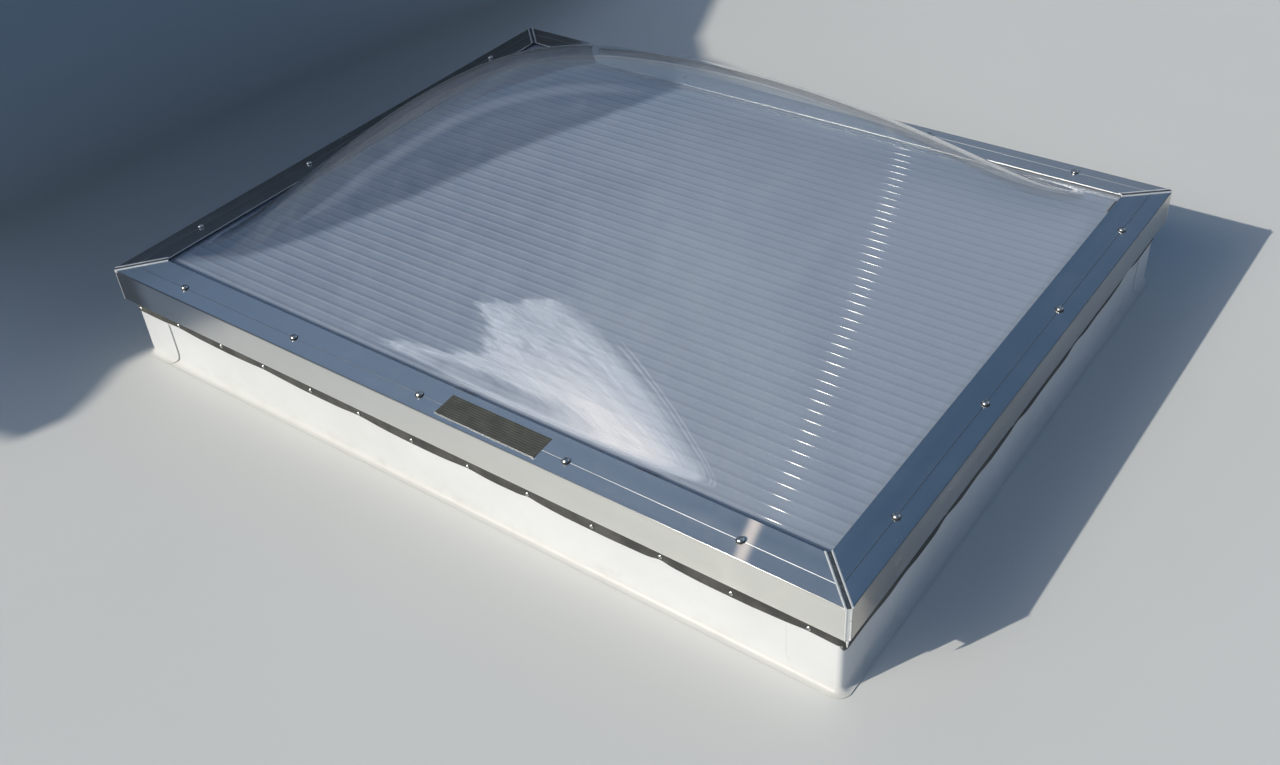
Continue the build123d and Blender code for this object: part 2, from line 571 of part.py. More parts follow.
patch_skin = skin1 - skin0
for name, sx, sy in (("front_left", -1, -1), ("front_right", 1, -1),
                     ("back_left", -1, 1), ("back_right", 1, 1)):
    ax, ay = CX + MEM_T - PATCH_X, CY + MEM_T - PATCH_Y
    zone = block(min(sx * ax, sx * 700), max(sx * ax, sx * 700),
                 min(sy * ay, sy * 560), max(sy * ay, sy * 560), 0.6, PATCH_TOP)
    patch = patch_skin & zone
    if name in PATCH_SIDE_TOP:
        patch = patch - block(CX + MEM_T - 2.8, 700, -560, 560, PATCH_SIDE_TOP[name], 90)
    keep("corner_patch_" + name, one(patch))

# ---------------------------------------------------------------- curb boards
nail = Solid.revolve(Face(Wire([
    Edge.make_line((0, 0, 0), (NAIL_HEAD_R, 0, 0)),
    Edge.make_line((NAIL_HEAD_R, 0, 0), (NAIL_HEAD_R, 0, -1.4)),
    Edge.make_line((NAIL_HEAD_R, 0, -1.4), (NAIL_R, 0, -2.2)),
    Edge.make_line((NAIL_R, 0, -2.2), (NAIL_R, 0, -NAIL_LEN + 4)),
    Edge.make_line((NAIL_R, 0, -NAIL_LEN + 4), (0, 0, -NAIL_LEN)),
    Edge.make_line((0, 0, -NAIL_LEN), (0, 0, 0)),
])), 360, Axis.Z)
nails = []
nail_cut = []
for sx in (-1, 1):
    for side in ("front", "back"):
        for z in NAIL_Z:
            p = at(side, sx * (CX - BOARD_T / 2), BOARD_D, z)
            nails.append(seat(nail, p, inward(side) * -1))
            nail_cut.append(rod(p, inward(side), NAIL_R + FIT, NAIL_LEN))
            nail_cut.append(rod(p, inward(side), NAIL_HEAD_R + FIT, 2.3))
keep("curb_nails", nails)

for side in SIDES:
    if side in ("front", "back"):
        b = straight(side, -CX, CX, rect(BOARD_D, BOARD_D + BOARD_T, 0, BOARD_H))
        b = b & curb_core
    else:
        b = straight(side, -CY + BOARD_T, CY - BOARD_T, rect(BOARD_D, BOARD_D + BOARD_T, 0, BOARD_H))
    keep("curb_board_" + side, one(b - board_holes[side] - nail_cut))

# --------------------------------------------------------------------- export
for name, shapes in PARTS.items():
    out = shapes[0] if len(shapes) == 1 else Compound(shapes)
    export_step(out, "parts/%s.step" % name)
print(len(PARTS), "nodes")
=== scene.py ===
"""Roof skylight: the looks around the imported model. Lengths are in metres in the row frame, so object coordinates in the
materials are real metres too."""
import json
import math

import bmesh
import bpy
import numpy as np
from mathutils import Matrix, Vector


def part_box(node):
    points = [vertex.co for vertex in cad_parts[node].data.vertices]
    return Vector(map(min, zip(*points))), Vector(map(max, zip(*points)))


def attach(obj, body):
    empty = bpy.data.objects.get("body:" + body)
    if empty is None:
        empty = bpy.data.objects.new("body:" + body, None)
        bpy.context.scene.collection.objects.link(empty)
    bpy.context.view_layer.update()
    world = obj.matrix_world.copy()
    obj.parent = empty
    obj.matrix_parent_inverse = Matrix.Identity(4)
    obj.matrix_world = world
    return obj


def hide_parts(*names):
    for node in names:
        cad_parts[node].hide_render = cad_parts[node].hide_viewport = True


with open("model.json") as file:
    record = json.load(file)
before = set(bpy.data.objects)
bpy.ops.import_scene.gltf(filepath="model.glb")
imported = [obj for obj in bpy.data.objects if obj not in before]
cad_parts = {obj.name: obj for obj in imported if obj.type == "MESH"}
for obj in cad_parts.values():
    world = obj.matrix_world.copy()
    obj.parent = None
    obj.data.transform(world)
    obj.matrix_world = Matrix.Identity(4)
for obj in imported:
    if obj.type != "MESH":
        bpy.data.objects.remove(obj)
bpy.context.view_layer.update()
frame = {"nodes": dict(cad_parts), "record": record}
NODES = frame["nodes"]
scene = bpy.context.scene

# ---------------------------------------------------------------------------------------------- sizes, as in the model
HX, HY = 0.654, 0.5145          # half sizes of the cap frame's datum outline
CAP_OUT = 0.0025                # its outer face stands this far outside that
FLANGE = 0.0571                 # width of the cap's top flange
Z_CAP = 0.170                   # top of the flange at its inner edge
FALL = 0.0047                   # how far it falls to its outer edge
Z_SKIRT = 0.112                 # lower edge of the cap's skirt
Z_DOME = 0.1656                 # top of the dome's flat flange
DOME_T = 0.0032
SUN = Vector((-0.383, -0.758, 0.528)).normalized()
PATCH_R = 0.028                 # round of a corner patch's lower corners
PATCH_TOP = 0.084
PATCH_SIDE_TOP = {"front_right": 0.0768, "back_right": 0.0792}


def z_top(d):
    """Height of the cap's top at d inward from its outer face."""
    return Z_CAP - FALL * (FLANGE - d) / FLANGE


# -------------------------------------------------------------------------------------------------------- node helpers
class Tree:
    """Short ways to write a node tree. A number or a colour given for an input is set on the socket itself."""

    def __init__(self, tree):
        self.nt = tree
        self.nt.nodes.clear()

    def put(self, socket, value):
        if isinstance(value, bpy.types.NodeSocket):
            self.nt.links.new(value, socket)
        elif value is not None:
            if hasattr(socket.default_value, "__len__"):
                n = len(socket.default_value)
                v = list(value) if hasattr(value, "__len__") else [value] * n
                socket.default_value = (v + [1.0] * n)[:n]
            else:
                socket.default_value = value

    def node(self, kind, ins=None, **attrs):
        n = self.nt.nodes.new(kind)
        for k, v in attrs.items():
            setattr(n, k, v)
        for k, v in (ins or {}).items():
            self.put(n.inputs[k], v)
        return n

    def math(self, op, a, b=None, c=None, clamp=False):
        n = self.node("ShaderNodeMath", operation=op, use_clamp=clamp)
        for i, v in enumerate((a, b, c)):
            if v is not None:
                self.put(n.inputs[i], v)
        return n.outputs[0]

    def add(self, a, b):
        return self.math("ADD", a, b)

    def sub(self, a, b):
        return self.math("SUBTRACT", a, b)

    def mul(self, a, b):
        return self.math("MULTIPLY", a, b)

    def vmath(self, op, a, b=None, scale=None):
        n = self.node("ShaderNodeVectorMath", operation=op)
        self.put(n.inputs[0], a)
        if b is not None:
            self.put(n.inputs[1], b)
        if scale is not None:
            self.put(n.inputs["Scale"], scale)
        return n.outputs[1] if op in ("DOT_PRODUCT", "LENGTH", "DISTANCE") else n.outputs[0]

    def comb(self, x=0.0, y=0.0, z=0.0):
        return self.node("ShaderNodeCombineXYZ", {0: x, 1: y, 2: z}).outputs[0]

    def sep(self, v):
        return self.node("ShaderNodeSeparateXYZ", {0: v}).outputs

    def range(self, v, a, b, c=0.0, d=1.0, smooth=True):
        n = self.node("ShaderNodeMapRange", interpolation_type="SMOOTHSTEP" if smooth else "LINEAR")
        for i, x in enumerate((v, a, b, c, d)):
            self.put(n.inputs[i], x)
        return n.outputs[0]

    def mix(self, f, a, b, blend="MIX"):
        n = self.node("ShaderNodeMix", data_type="RGBA", blend_type=blend)
        self.put(n.inputs[0], f)
        self.put(n.inputs[6], a)
        self.put(n.inputs[7], b)
        return n.outputs[2]

    def noise(self, v, scale, detail=3.0, rough=0.5, distortion=0.0, color=False):
        n = self.node("ShaderNodeTexNoise", {"Vector": v, "Scale": scale, "Detail": detail, "Roughness": rough,
                                             "Distortion": distortion})
        return n.outputs[1 if color else 0]

    def voronoi(self, v, scale, feature="F1", rand=1.0, out=0):
        n = self.node("ShaderNodeTexVoronoi", {"Vector": v, "Scale": scale, "Randomness": rand}, feature=feature)
        return n.outputs[out]

    def ramp(self, f, stops, mode="LINEAR"):
        n = self.node("ShaderNodeValToRGB", {0: f})
        r = n.color_ramp
        r.interpolation = mode
        while len(r.elements) > 1:
            r.elements.remove(r.elements[0])
        for i, (p, c) in enumerate(stops):
            e = r.elements[0] if i == 0 else r.elements.new(p)
            e.position = p
            c = c if hasattr(c, "__len__") else (c, c, c)
            e.color = (*c, 1.0)
        return n.outputs[0]

    def bump(self, height, strength=1.0, distance=0.001, normal=None):
        n = self.node("ShaderNodeBump", {"Height": height, "Strength": strength, "Distance": distance})
        if normal is not None:
            self.put(n.inputs["Normal"], normal)
        return n.outputs[0]

    def mix_shader(self, f, a, b):
        n = self.node("ShaderNodeMixShader", {0: f})
        self.nt.links.new(a, n.inputs[1])
        self.nt.links.new(b, n.inputs[2])
        return n.outputs[0]


class Mat(Tree):
    def __init__(self, name):
        self.mat = bpy.data.materials.new(name)
        self.mat.use_nodes = True
        super().__init__(self.mat.node_tree)
        self.out = self.node("ShaderNodeOutputMaterial")
        self.pos = self.node("ShaderNodeTexCoord").outputs["Object"]

    def xyz(self):
        return self.sep(self.pos)

    def stretched(self, x, y, z):
        """Object coordinates times these numbers, for patterns longer one way."""
        return self.vmath("MULTIPLY", self.pos, (x, y, z))

    def principled(self, **ins):
        n = self.node("ShaderNodeBsdfPrincipled")
        for k, v in ins.items():
            self.put(n.inputs[k.replace("_", " ")], v)
        return n

    def surface(self, shader):
        self.nt.links.new(shader, self.out.inputs["Surface"])
        return self.mat


def dress(obj, mat):
    obj.data.materials.clear()
    obj.data.materials.append(mat)


# ----------------------------------------------------------------------------------------------------------- materials
def aluminium(name, along, rough=0.21):
    """Mill finish: drawn lines along the rail, so the gloss is spread across them, a slow wave in the sheet, and a few
    pale scuffs by the outer edge."""
    m = Mat(name)
    x, y, z = m.xyz()
    one = along == "x"
    run = m.comb(1, 0, 0) if one else m.comb(0, 1, 0)
    across = m.vmath("CROSS_PRODUCT", m.node("ShaderNodeNewGeometry").outputs["Normal"], run)
    lines = m.noise(m.stretched(*((5, 900, 900) if one else (900, 5, 900))), 1.0, 2.0, 0.6)
    bands = m.noise(m.stretched(*((1.4, 60, 60) if one else (60, 1.4, 60))), 1.0, 3.0, 0.55)
    wave = m.noise(m.stretched(*((9, 0.6, 0.6) if one else (0.6, 9, 0.6))), 1.0, 2.0, 0.5)
    cloud = m.noise(m.pos, 6.0, 4.0, 0.55)
    film = m.range(m.noise(m.pos, 17.0, 5.0, 0.62), 0.50, 0.72)
    d = m.math("MINIMUM", m.sub(HX, m.math("ABSOLUTE", x)), m.sub(HY, m.math("ABSOLUTE", y)))
    rim = m.range(d, 0.014, -0.0005)
    scuff = m.mul(m.range(m.noise(m.pos, 110.0, 5.0, 0.72, 0.6), 0.60, 0.70), m.range(m.noise(m.pos, 4.2, 2.0, 0.5), 0.56, 0.66))
    scuff = m.mul(scuff, m.add(0.15, m.mul(rim, 0.85)))
    shade = m.add(m.mul(m.sub(lines, 0.5), 0.12), m.add(m.mul(m.sub(bands, 0.5), 0.42), m.mul(m.sub(cloud, 0.5), 0.30)))
    base = m.mix(m.add(0.5, shade), (0.70, 0.71, 0.715), (0.86, 0.865, 0.86))
    base = m.mix(m.mul(film, 0.10), base, (0.60, 0.63, 0.66))
    base = m.mix(m.mul(scuff, 0.55), base, (0.90, 0.91, 0.92))
    # Painted shade: the round of the outer edge is darkened to dim the sun's glint along it.
    nose = m.mul(m.range(d, 0.0012 - CAP_OUT, 0.0007 - CAP_OUT), m.range(z, 0.1625, 0.1632))
    # Painted shade: the scribed groove is darkened to dim the sun's glint in it.
    cut = m.mul(m.range(m.math("ABSOLUTE", m.sub(d, 0.0225)), 0.00055, 0.00035), m.range(z, 0.160, 0.162))
    base = m.mix(m.mul(nose, 0.80), base, (0.09, 0.10, 0.11))
    base = m.mix(m.mul(cut, 0.80 if one else 0.82), base, (0.10, 0.115, 0.14))
    wall = m.range(m.math("ABSOLUTE", m.sep(m.node("ShaderNodeNewGeometry").outputs["True Normal"])[2]), 0.5, 0.2)
    # Blotchy noise: it makes real stains and also jitters the edges of the painted shade and painted highlight below.
    stain_and_painted_light_noise = m.noise(m.stretched(*((2.6, 9, 9) if one else (9, 2.6, 9))), 1.0, 3.0, 0.55)
    if one:
        # Painted shade: the skirt's left end is darkened toward brown-grey, standing in for the dark surroundings it
        # reflects there.
        past_painted_dark_end = m.range(m.add(x, m.mul(m.sub(stain_and_painted_light_noise, 0.5), 0.06)), -0.625, -0.575)
        base = m.mix(m.mul(wall, m.sub(1.0, past_painted_dark_end)), base, (0.36, 0.35, 0.33))
        # Painted highlight: the skirts are made paler toward the right, standing in for the sun's broad gloss on that
        # part.
        base = m.mix(m.mul(wall, m.mul(m.range(m.add(x, m.mul(m.sub(stain_and_painted_light_noise, 0.5), 0.5)), -0.50, 0.50), 0.85)), base, (0.97, 0.955, 0.91))
        base = m.mix(m.mul(wall, m.mul(m.range(stain_and_painted_light_noise, 0.52, 0.66), 0.12)), base, (0.66, 0.62, 0.55))
    else:
        # The side rails' skirts are darkened and browned throughout, more in blotches.
        base = m.mix(m.mul(wall, m.range(stain_and_painted_light_noise, 0.40, 0.62, 0.45, 0.80)), base, (0.52, 0.48, 0.43))
    if not one:                                                    # the flattened corner, on the side rails' half
        # Painted shade: on the side rails' half of the flattened corner the colour is darkened so it reads with the
        # shaded side skirt.
        turn = m.math("ABSOLUTE", m.sep(m.node("ShaderNodeNewGeometry").outputs["True Normal"])[0])
        base = m.mix(m.mul(m.range(turn, 0.62, 0.69), m.range(turn, 0.80, 0.73)), base, (0.26, 0.25, 0.235))
    r = m.add(rough, m.add(m.mul(m.sub(bands, 0.5), 0.06), m.add(m.mul(film, 0.035), m.add(m.mul(scuff, 0.22), m.mul(cut, 0.22)))))
    normal = m.bump(wave, 1.0, 0.0011, m.bump(m.add(lines, m.mul(bands, 0.5)), 0.10, 0.0002))
    p = m.principled(Base_Color=base, Metallic=1.0, Roughness=r, Anisotropic=0.85, Tangent=across, Normal=normal)
    g = m.node("ShaderNodeBsdfAnisotropic", {"Color": (0.98, 0.86, 0.78), "Roughness": 0.26, "Anisotropy": 0.975,
                                             "Tangent": run, "Normal": m.bump(bands, 0.2, 0.0002)}, distribution="BECKMANN")
    flat = m.range(m.sep(m.node("ShaderNodeNewGeometry").outputs["True Normal"])[2], 0.985, 0.993)
    return m.surface(m.mix_shader(m.mul(flat, 0.0036), p.outputs[0], g.outputs[0]))


def plain_aluminium(name, tone=(0.72, 0.73, 0.74), rough=0.36):
    m = Mat(name)
    n = m.noise(m.pos, 35.0, 4.0, 0.6)
    f = m.noise(m.stretched(20, 20, 600), 1.0, 2.0, 0.6)
    base = m.mix(n, tuple(0.85 * c for c in tone), tuple(1.08 * c for c in tone))
    p = m.principled(Base_Color=base, Metallic=1.0, Roughness=m.add(rough, m.mul(m.sub(n, 0.5), 0.16)),
                     Normal=m.bump(f, 0.08, 0.0002))
    return m.surface(p.outputs[0])


def bright_bead():
    """Two dressed ridges with a dark line of sealant between them, over each mitre and down the corner."""
    m = Mat("bead_metal")
    x, y, z = m.xyz()
    n = m.noise(m.pos, 120.0, 3.0, 0.6)
    w = m.noise(m.pos, 700.0, 3.0, 0.6)
    off = m.math("ABSOLUTE", m.mul(m.sub(m.sub(m.math("ABSOLUTE", x), HX), m.sub(m.math("ABSOLUTE", y), HY)), 0.7071))
    off = m.add(off, m.mul(m.sub(m.noise(m.pos, 90.0, 3.0, 0.6), 0.5), 0.0014))
    top = m.range(z, Z_CAP - 0.0062, Z_CAP - 0.0052)
    gap = m.mul(m.range(off, 0.0030, 0.0022), top)
    base = m.mix(n, (0.80, 0.80, 0.79), (0.95, 0.95, 0.94))
    base = m.mix(m.mul(m.range(w, 0.56, 0.68), 0.35), base, (0.50, 0.52, 0.55))
    metal = m.principled(Base_Color=base, Metallic=0.5, Roughness=m.add(0.22, m.mul(n, 0.18)),
                         Normal=m.bump(m.add(n, m.mul(w, 0.5)), 0.45, 0.0006))
    dirt = m.mix(m.range(w, 0.38, 0.72), (0.020, 0.027, 0.036), (0.13, 0.145, 0.165))
    seal = m.principled(Base_Color=dirt, Roughness=m.add(0.55, m.mul(w, 0.2)), Specular_IOR_Level=0.3, Normal=m.bump(w, 0.6, 0.0006))
    return m.surface(m.mix_shader(gap, metal.outputs[0], seal.outputs[0]))


def steel(name, tone=(0.78, 0.78, 0.77), rough=0.16, grain=0.5):
    m = Mat(name)
    n = m.noise(m.pos, 300.0, 3.0, 0.6)
    base = m.mix(n, tuple((1 - 0.18 * grain) * c for c in tone), tone)
    p = m.principled(Base_Color=base, Metallic=1.0, Roughness=m.add(rough, m.mul(n, 0.12)), Normal=m.bump(n, 0.10, 0.0002))
    return m.surface(p.outputs[0])


def rubber(name, dark, pale, rough=0.6, scale=70.0, streak=(1, 1, 1)):
    m = Mat(name)
    n = m.noise(m.stretched(*streak), scale, 4.0, 0.6)
    g = m.noise(m.pos, 900.0, 2.0, 0.5)
    p = m.principled(Base_Color=m.mix(m.range(n, 0.3, 0.75), dark, pale), Roughness=m.add(rough, m.mul(m.sub(n, 0.5), 0.2)),
                     Specular_IOR_Level=0.4, Normal=m.bump(m.add(g, m.mul(n, 0.6)), 0.25, 0.0004))
    return m.surface(p.outputs[0])


def membrane():
    """White single-ply sheet: slightly uneven, a fine grain, dust gathered at the foot, and painted shade over the cove
    at the very foot.
    """
    m = Mat("white_membrane")
    x, y, z = m.xyz()
    soft = m.noise(m.pos, 5.0, 4.0, 0.55)
    mottled = m.noise(m.pos, 28.0, 4.0, 0.62)
    grain = m.noise(m.pos, 420.0, 3.0, 0.6)
    low = m.range(m.add(z, m.mul(m.sub(mottled, 0.5), 0.03)), 0.028, 0.0)
    dirt = m.mul(low, m.range(m.noise(m.pos, 16.0, 5.0, 0.68), 0.46, 0.72))
    specks = m.mul(m.range(m.voronoi(m.pos, 95.0), 0.10, 0.05), m.range(m.noise(m.pos, 9.0, 2.0, 0.5), 0.55, 0.68))
    base = m.mix(m.range(soft, 0.3, 0.7), (0.655, 0.665, 0.675), (0.715, 0.725, 0.74))
    base = m.mix(m.mul(m.range(mottled, 0.45, 0.75), 0.10), base, (0.62, 0.61, 0.57))
    base = m.mix(m.mul(dirt, 0.42), base, (0.42, 0.39, 0.33))
    base = m.mix(m.mul(specks, m.mul(low, 0.5)), base, (0.20, 0.18, 0.15))
    # Painted shade: the lowest 11.5 mm, over the cove, is darkened so it does not catch more light than the wall.
    base = m.mix(m.mul(m.range(z, 0.0115, 0.0015), 0.75), base, (0.60, 0.595, 0.575))
    u = m.range(z, 0.0, PATCH_R, 1.0, 0.0, False)
    back = m.mul(m.sub(1.0, m.math("SQRT", m.math("MAXIMUM", m.sub(1.0, m.mul(u, u)), 0.0))), PATCH_R)
    end = m.math("MINIMUM", m.math("ABSOLUTE", m.sub(m.sub(m.math("ABSOLUTE", x), back), 0.5685)),
                 m.math("ABSOLUTE", m.sub(m.sub(m.math("ABSOLUTE", y), back), 0.4420)))
    line = m.mul(m.range(end, 0.0015, 0.0008), m.mul(m.range(z, 0.0835, 0.080), m.range(mottled, 0.30, 0.50, 0.55, 1.0)))
    line = m.mul(line, m.range(x, 0.30, -0.10, 0.10, 1.0))
    base = m.mix(m.mul(line, 0.92), base, (0.115, 0.11, 0.10))
    p = m.principled(Base_Color=base, Roughness=m.add(0.46, m.mul(m.sub(mottled, 0.5), 0.25)), Specular_IOR_Level=0.42,
                     Subsurface_Weight=0.0,
                     Normal=m.bump(m.add(m.mul(soft, 1.6), m.add(m.mul(mottled, 0.25), m.mul(grain, 0.03))), 0.30, 0.003))
    return m.surface(p.outputs[0])


def timber():
    m = Mat("timber")
    x, y, z = m.xyz()
    ring = m.noise(m.stretched(3.0, 3.0, 46.0), 1.0, 5.0, 0.6, 0.8)
    fibre = m.noise(m.stretched(14.0, 14.0, 420.0), 1.0, 3.0, 0.6)
    band = m.range(m.math("SINE", m.mul(ring, 42.0)), -1.0, 1.0)
    base = m.mix(band, (0.60, 0.41, 0.22), (0.75, 0.58, 0.36))
    base = m.mix(m.mul(m.sub(fibre, 0.3), 0.35), base, (0.40, 0.26, 0.13))
    knot = m.range(m.voronoi(m.stretched(2.2, 2.2, 5.0), 1.6), 0.10, 0.045)
    base = m.mix(m.mul(knot, 0.8), base, (0.22, 0.12, 0.06))
    p = m.principled(Base_Color=base, Roughness=m.add(0.62, m.mul(m.sub(fibre, 0.5), 0.2)), Specular_IOR_Level=0.3,
                     Normal=m.bump(m.add(m.mul(fibre, 0.5), m.mul(band, 0.2)), 0.35, 0.0008))
    return m.surface(p.outputs[0])


def foil():
    """The bare data plate: brown-grey satin foil with fine lines along it, scuffs, and a painted highlight along its
    curled front edge.
    """
    m = Mat("dark_foil")
    x, y, z = m.xyz()
    fine = m.noise(m.stretched(9, 620, 200), 1.0, 3.0, 0.6)
    rows = m.range(m.math("SINE", m.mul(m.add(y, m.mul(m.noise(m.stretched(30, 4, 4), 1.0, 2.0, 0.5), 0.0012)), 2 * math.pi / 0.0039)),
                   -0.3, 0.8)
    cloud = m.noise(m.pos, 42.0, 4.0, 0.6)
    scuff = m.range(m.noise(m.stretched(60, 260, 60), 1.0, 4.0, 0.7, 0.6), 0.58, 0.76)
    blot = m.range(m.noise(m.stretched(46, 90, 60), 1.0, 3.0, 0.6), 0.58, 0.66)
    base = m.mix(m.range(cloud, 0.3, 0.75), (0.135, 0.130, 0.104), (0.205, 0.195, 0.155))
    base = m.mix(m.mul(rows, 0.62), base, (0.050, 0.050, 0.040))
    base = m.mix(m.mul(blot, 0.25), base, (0.06, 0.06, 0.055))
    base = m.mix(m.mul(scuff, 0.30), base, (0.36, 0.35, 0.32))
    base = m.mix(m.mul(m.sub(fine, 0.4), 0.30), base, (0.30, 0.29, 0.26))
    # Painted highlight: the curled front edge is made bright, standing for the light it catches.
    curl = m.range(y, -0.5075, -0.5083)
    base = m.mix(m.mul(curl, 0.85), base, (0.72, 0.72, 0.70))
    p = m.principled(Base_Color=base, Metallic=0.55, Roughness=m.add(0.44, m.mul(m.sub(cloud, 0.5), 0.25)),
                     Normal=m.bump(m.add(m.mul(fine, 0.5), m.add(cloud, m.mul(rows, 0.15))), 0.15, 0.0006))
    return m.surface(p.outputs[0])


def panel():
    """Multiwall sheet: a milky blue-grey top over ribs every 20 mm. The ribs show as pale lines with a darker side;
    painted light makes them stronger at the left, standing in for the shaded zone, and fades them at the right under a
    painted pale veil of sunlit haze.
    Their round edges shine only across their run, which breaks the sun's glint into a row of dashes."""
    m = Mat("polycarbonate")
    x, y, z = m.xyz()
    wander = m.mul(m.sub(m.noise(m.stretched(3.0, 1.0, 1.0), 1.0, 2.0, 0.5), 0.5), 0.0014)
    t = m.math("FRACT", m.math("DIVIDE", m.add(m.add(y, 0.4805), wander), 0.020))
    centre = m.math("ABSOLUTE", m.sub(t, 0.5))                     # 0 midway between two ribs, 0.5 on a rib
    rib = m.range(centre, 0.38, 0.5)
    side = m.mul(m.range(t, 0.04, 0.22), m.range(t, 0.52, 0.26))
    hair = m.mul(m.range(t, 0.10, 0.15), m.range(t, 0.22, 0.17))
    soft = m.noise(m.pos, 3.2, 3.0, 0.5)
    dust = m.noise(m.pos, 40.0, 4.0, 0.65)
    rubbed = m.noise(m.stretched(2.0, 26.0, 1.0), 1.0, 3.0, 0.6)
    # Painted light: rib contrast is full at the left, standing in for the shaded zone, and halved at the right under a
    # painted pale veil of sunlit haze.
    painted_light_contrast = m.range(m.add(x, m.mul(m.sub(soft, 0.5), 0.5)), 0.22, -0.34, 0.50, 1.0)
    base = m.mix(m.range(soft, 0.3, 0.7), (0.315, 0.390, 0.520), (0.345, 0.420, 0.550))
    base = m.mix(m.mul(m.sub(1.0, painted_light_contrast), 1.00), base, (0.50, 0.55, 0.64))
    base = m.mix(m.mul(side, m.mul(painted_light_contrast, 0.42)), base, (0.15, 0.195, 0.31))
    base = m.mix(m.mul(hair, m.add(0.10, m.mul(painted_light_contrast, 0.14))), base, (0.10, 0.13, 0.21))
    base = m.mix(m.mul(rib, m.mul(painted_light_contrast, 0.62)), base, (0.58, 0.63, 0.72))
    base = m.mix(m.mul(m.range(rubbed, 0.55, 0.8), 0.10), base, (0.52, 0.56, 0.62))
    base = m.mix(m.mul(m.range(dust, 0.52, 0.78), 0.06), base, (0.5, 0.5, 0.5))
    r = m.add(0.24, m.mul(dust, 0.12))
    p = m.principled(Base_Color=base, Roughness=r, IOR=1.58, Specular_IOR_Level=0.5,
                     Normal=m.bump(m.add(m.mul(rib, 0.5), m.mul(dust, 0.02)), 0.15, 0.001))
    back = m.node("ShaderNodeBsdfTranslucent", {"Color": (0.62, 0.66, 0.72)})
    body = m.mix_shader(0.30, p.outputs[0], back.outputs[0])
    row = m.math("FLOOR", m.math("DIVIDE", m.add(y, 0.4905), 0.020))
    each = m.node("ShaderNodeTexWhiteNoise", {"W": row}, noise_dimensions="1D").outputs["Value"]
    warp = m.add(m.mul(m.noise(m.pos, 4.0, 1.0, 0.5), 0.6), m.add(m.mul(m.noise(m.stretched(6, 26, 1), 1.0, 0.0, 0.5), 0.15),
                                                       m.mul(x, m.add(19.0, m.mul(m.sub(each, 0.5), 1.8)))))
    edge = m.node("ShaderNodeBsdfAnisotropic", {"Color": (0.98, 0.97, 0.95), "Roughness": 0.27, "Anisotropy": 0.965,
                                                "Tangent": m.comb(1, 0, 0), "Normal": m.bump(warp, 1.0, 0.0005)},
                  distribution="BECKMANN")
    up = m.range(m.sep(m.node("ShaderNodeNewGeometry").outputs["Normal"])[2], 0.5, 0.9)
    strip = m.mul(m.range(centre, 0.474, 0.480), m.mul(up, m.add(0.022, m.mul(each, 0.030))))
    return m.surface(m.mix_shader(strip, body, edge.outputs[0]))


def acrylic():
    """The clear dome. Lamps pass it, a thin dust film catches the sun, and the wall keeps its real thickness."""
    m = Mat("clear_acrylic")
    x, y, z = m.xyz()
    path = m.node("ShaderNodeLightPath")
    wave = m.noise(m.pos, 4.0, 2.0, 0.5)
    ripple = m.noise(m.stretched(9.0, 30.0, 9.0), 1.0, 3.0, 0.6)
    dust = m.noise(m.pos, 26.0, 5.0, 0.68)
    fine = m.noise(m.pos, 380.0, 2.0, 0.6)
    runs = m.range(m.noise(m.stretched(22.0, 3.0, 3.0), 1.0, 4.0, 0.65), 0.52, 0.72)
    glass = m.principled(Base_Color=(1.0, 1.0, 1.0), Roughness=0.0, IOR=1.49, Transmission_Weight=1.0,
                         Specular_IOR_Level=0.5, Normal=m.bump(m.add(wave, m.mul(ripple, 0.03)), 0.06, 0.004))
    film = m.node("ShaderNodeBsdfDiffuse", {"Color": (0.86, 0.88, 0.90)})
    haze = m.range(m.add(x, m.mul(m.sub(dust, 0.5), 0.3)), -0.35, 0.45, 0.0, 0.014)
    amount = m.add(m.add(0.019, haze), m.add(m.mul(m.range(dust, 0.35, 0.8), 0.016),
                                             m.add(m.mul(m.range(fine, 0.55, 0.8), 0.003), m.mul(runs, 0.010))))
    seen = m.mix_shader(amount, glass.outputs[0], film.outputs[0])
    clear = m.node("ShaderNodeBsdfTransparent", {"Color": (0.93, 0.94, 0.95)})
    lamp = m.math("MAXIMUM", path.outputs["Is Shadow Ray"], path.outputs["Is Diffuse Ray"])
    return m.surface(m.mix_shader(lamp, seen, clear.outputs[0]))


ALU_X, ALU_Y = aluminium("mill_aluminium_x", "x"), aluminium("mill_aluminium_y", "y")
FRAME_ALU, BEAD = plain_aluminium("frame_aluminium"), bright_bead()
STEEL = steel("stainless_steel", (0.60, 0.60, 0.58), 0.20, 0.8)
ZINC = steel("galvanised_steel", (0.56, 0.57, 0.58), 0.42, 1.0)
WASHER = rubber("washer_rubber", (0.02, 0.02, 0.022), (0.06, 0.06, 0.062))
STRIP = rubber("edge_rubber", (0.040, 0.040, 0.039), (0.095, 0.093, 0.088), 0.62, 24.0)
GASKET = rubber("glazing_rubber", (0.05, 0.055, 0.065), (0.10, 0.105, 0.12), 0.5)
TAPE = rubber("glazing_tape", (0.26, 0.27, 0.28), (0.38, 0.39, 0.40), 0.6)
FOAM = rubber("foam_seal", (0.04, 0.04, 0.04), (0.10, 0.10, 0.10), 0.9, 300.0)
VINYL = rubber("vinyl", (0.06, 0.06, 0.065), (0.10, 0.10, 0.11), 0.45)
CLOSE = plain_aluminium("closure_foil", (0.66, 0.66, 0.66), 0.42)
MEMBRANE, TIMBER, FOIL, PANEL, ACRYLIC = membrane(), timber(), foil(), panel(), acrylic()

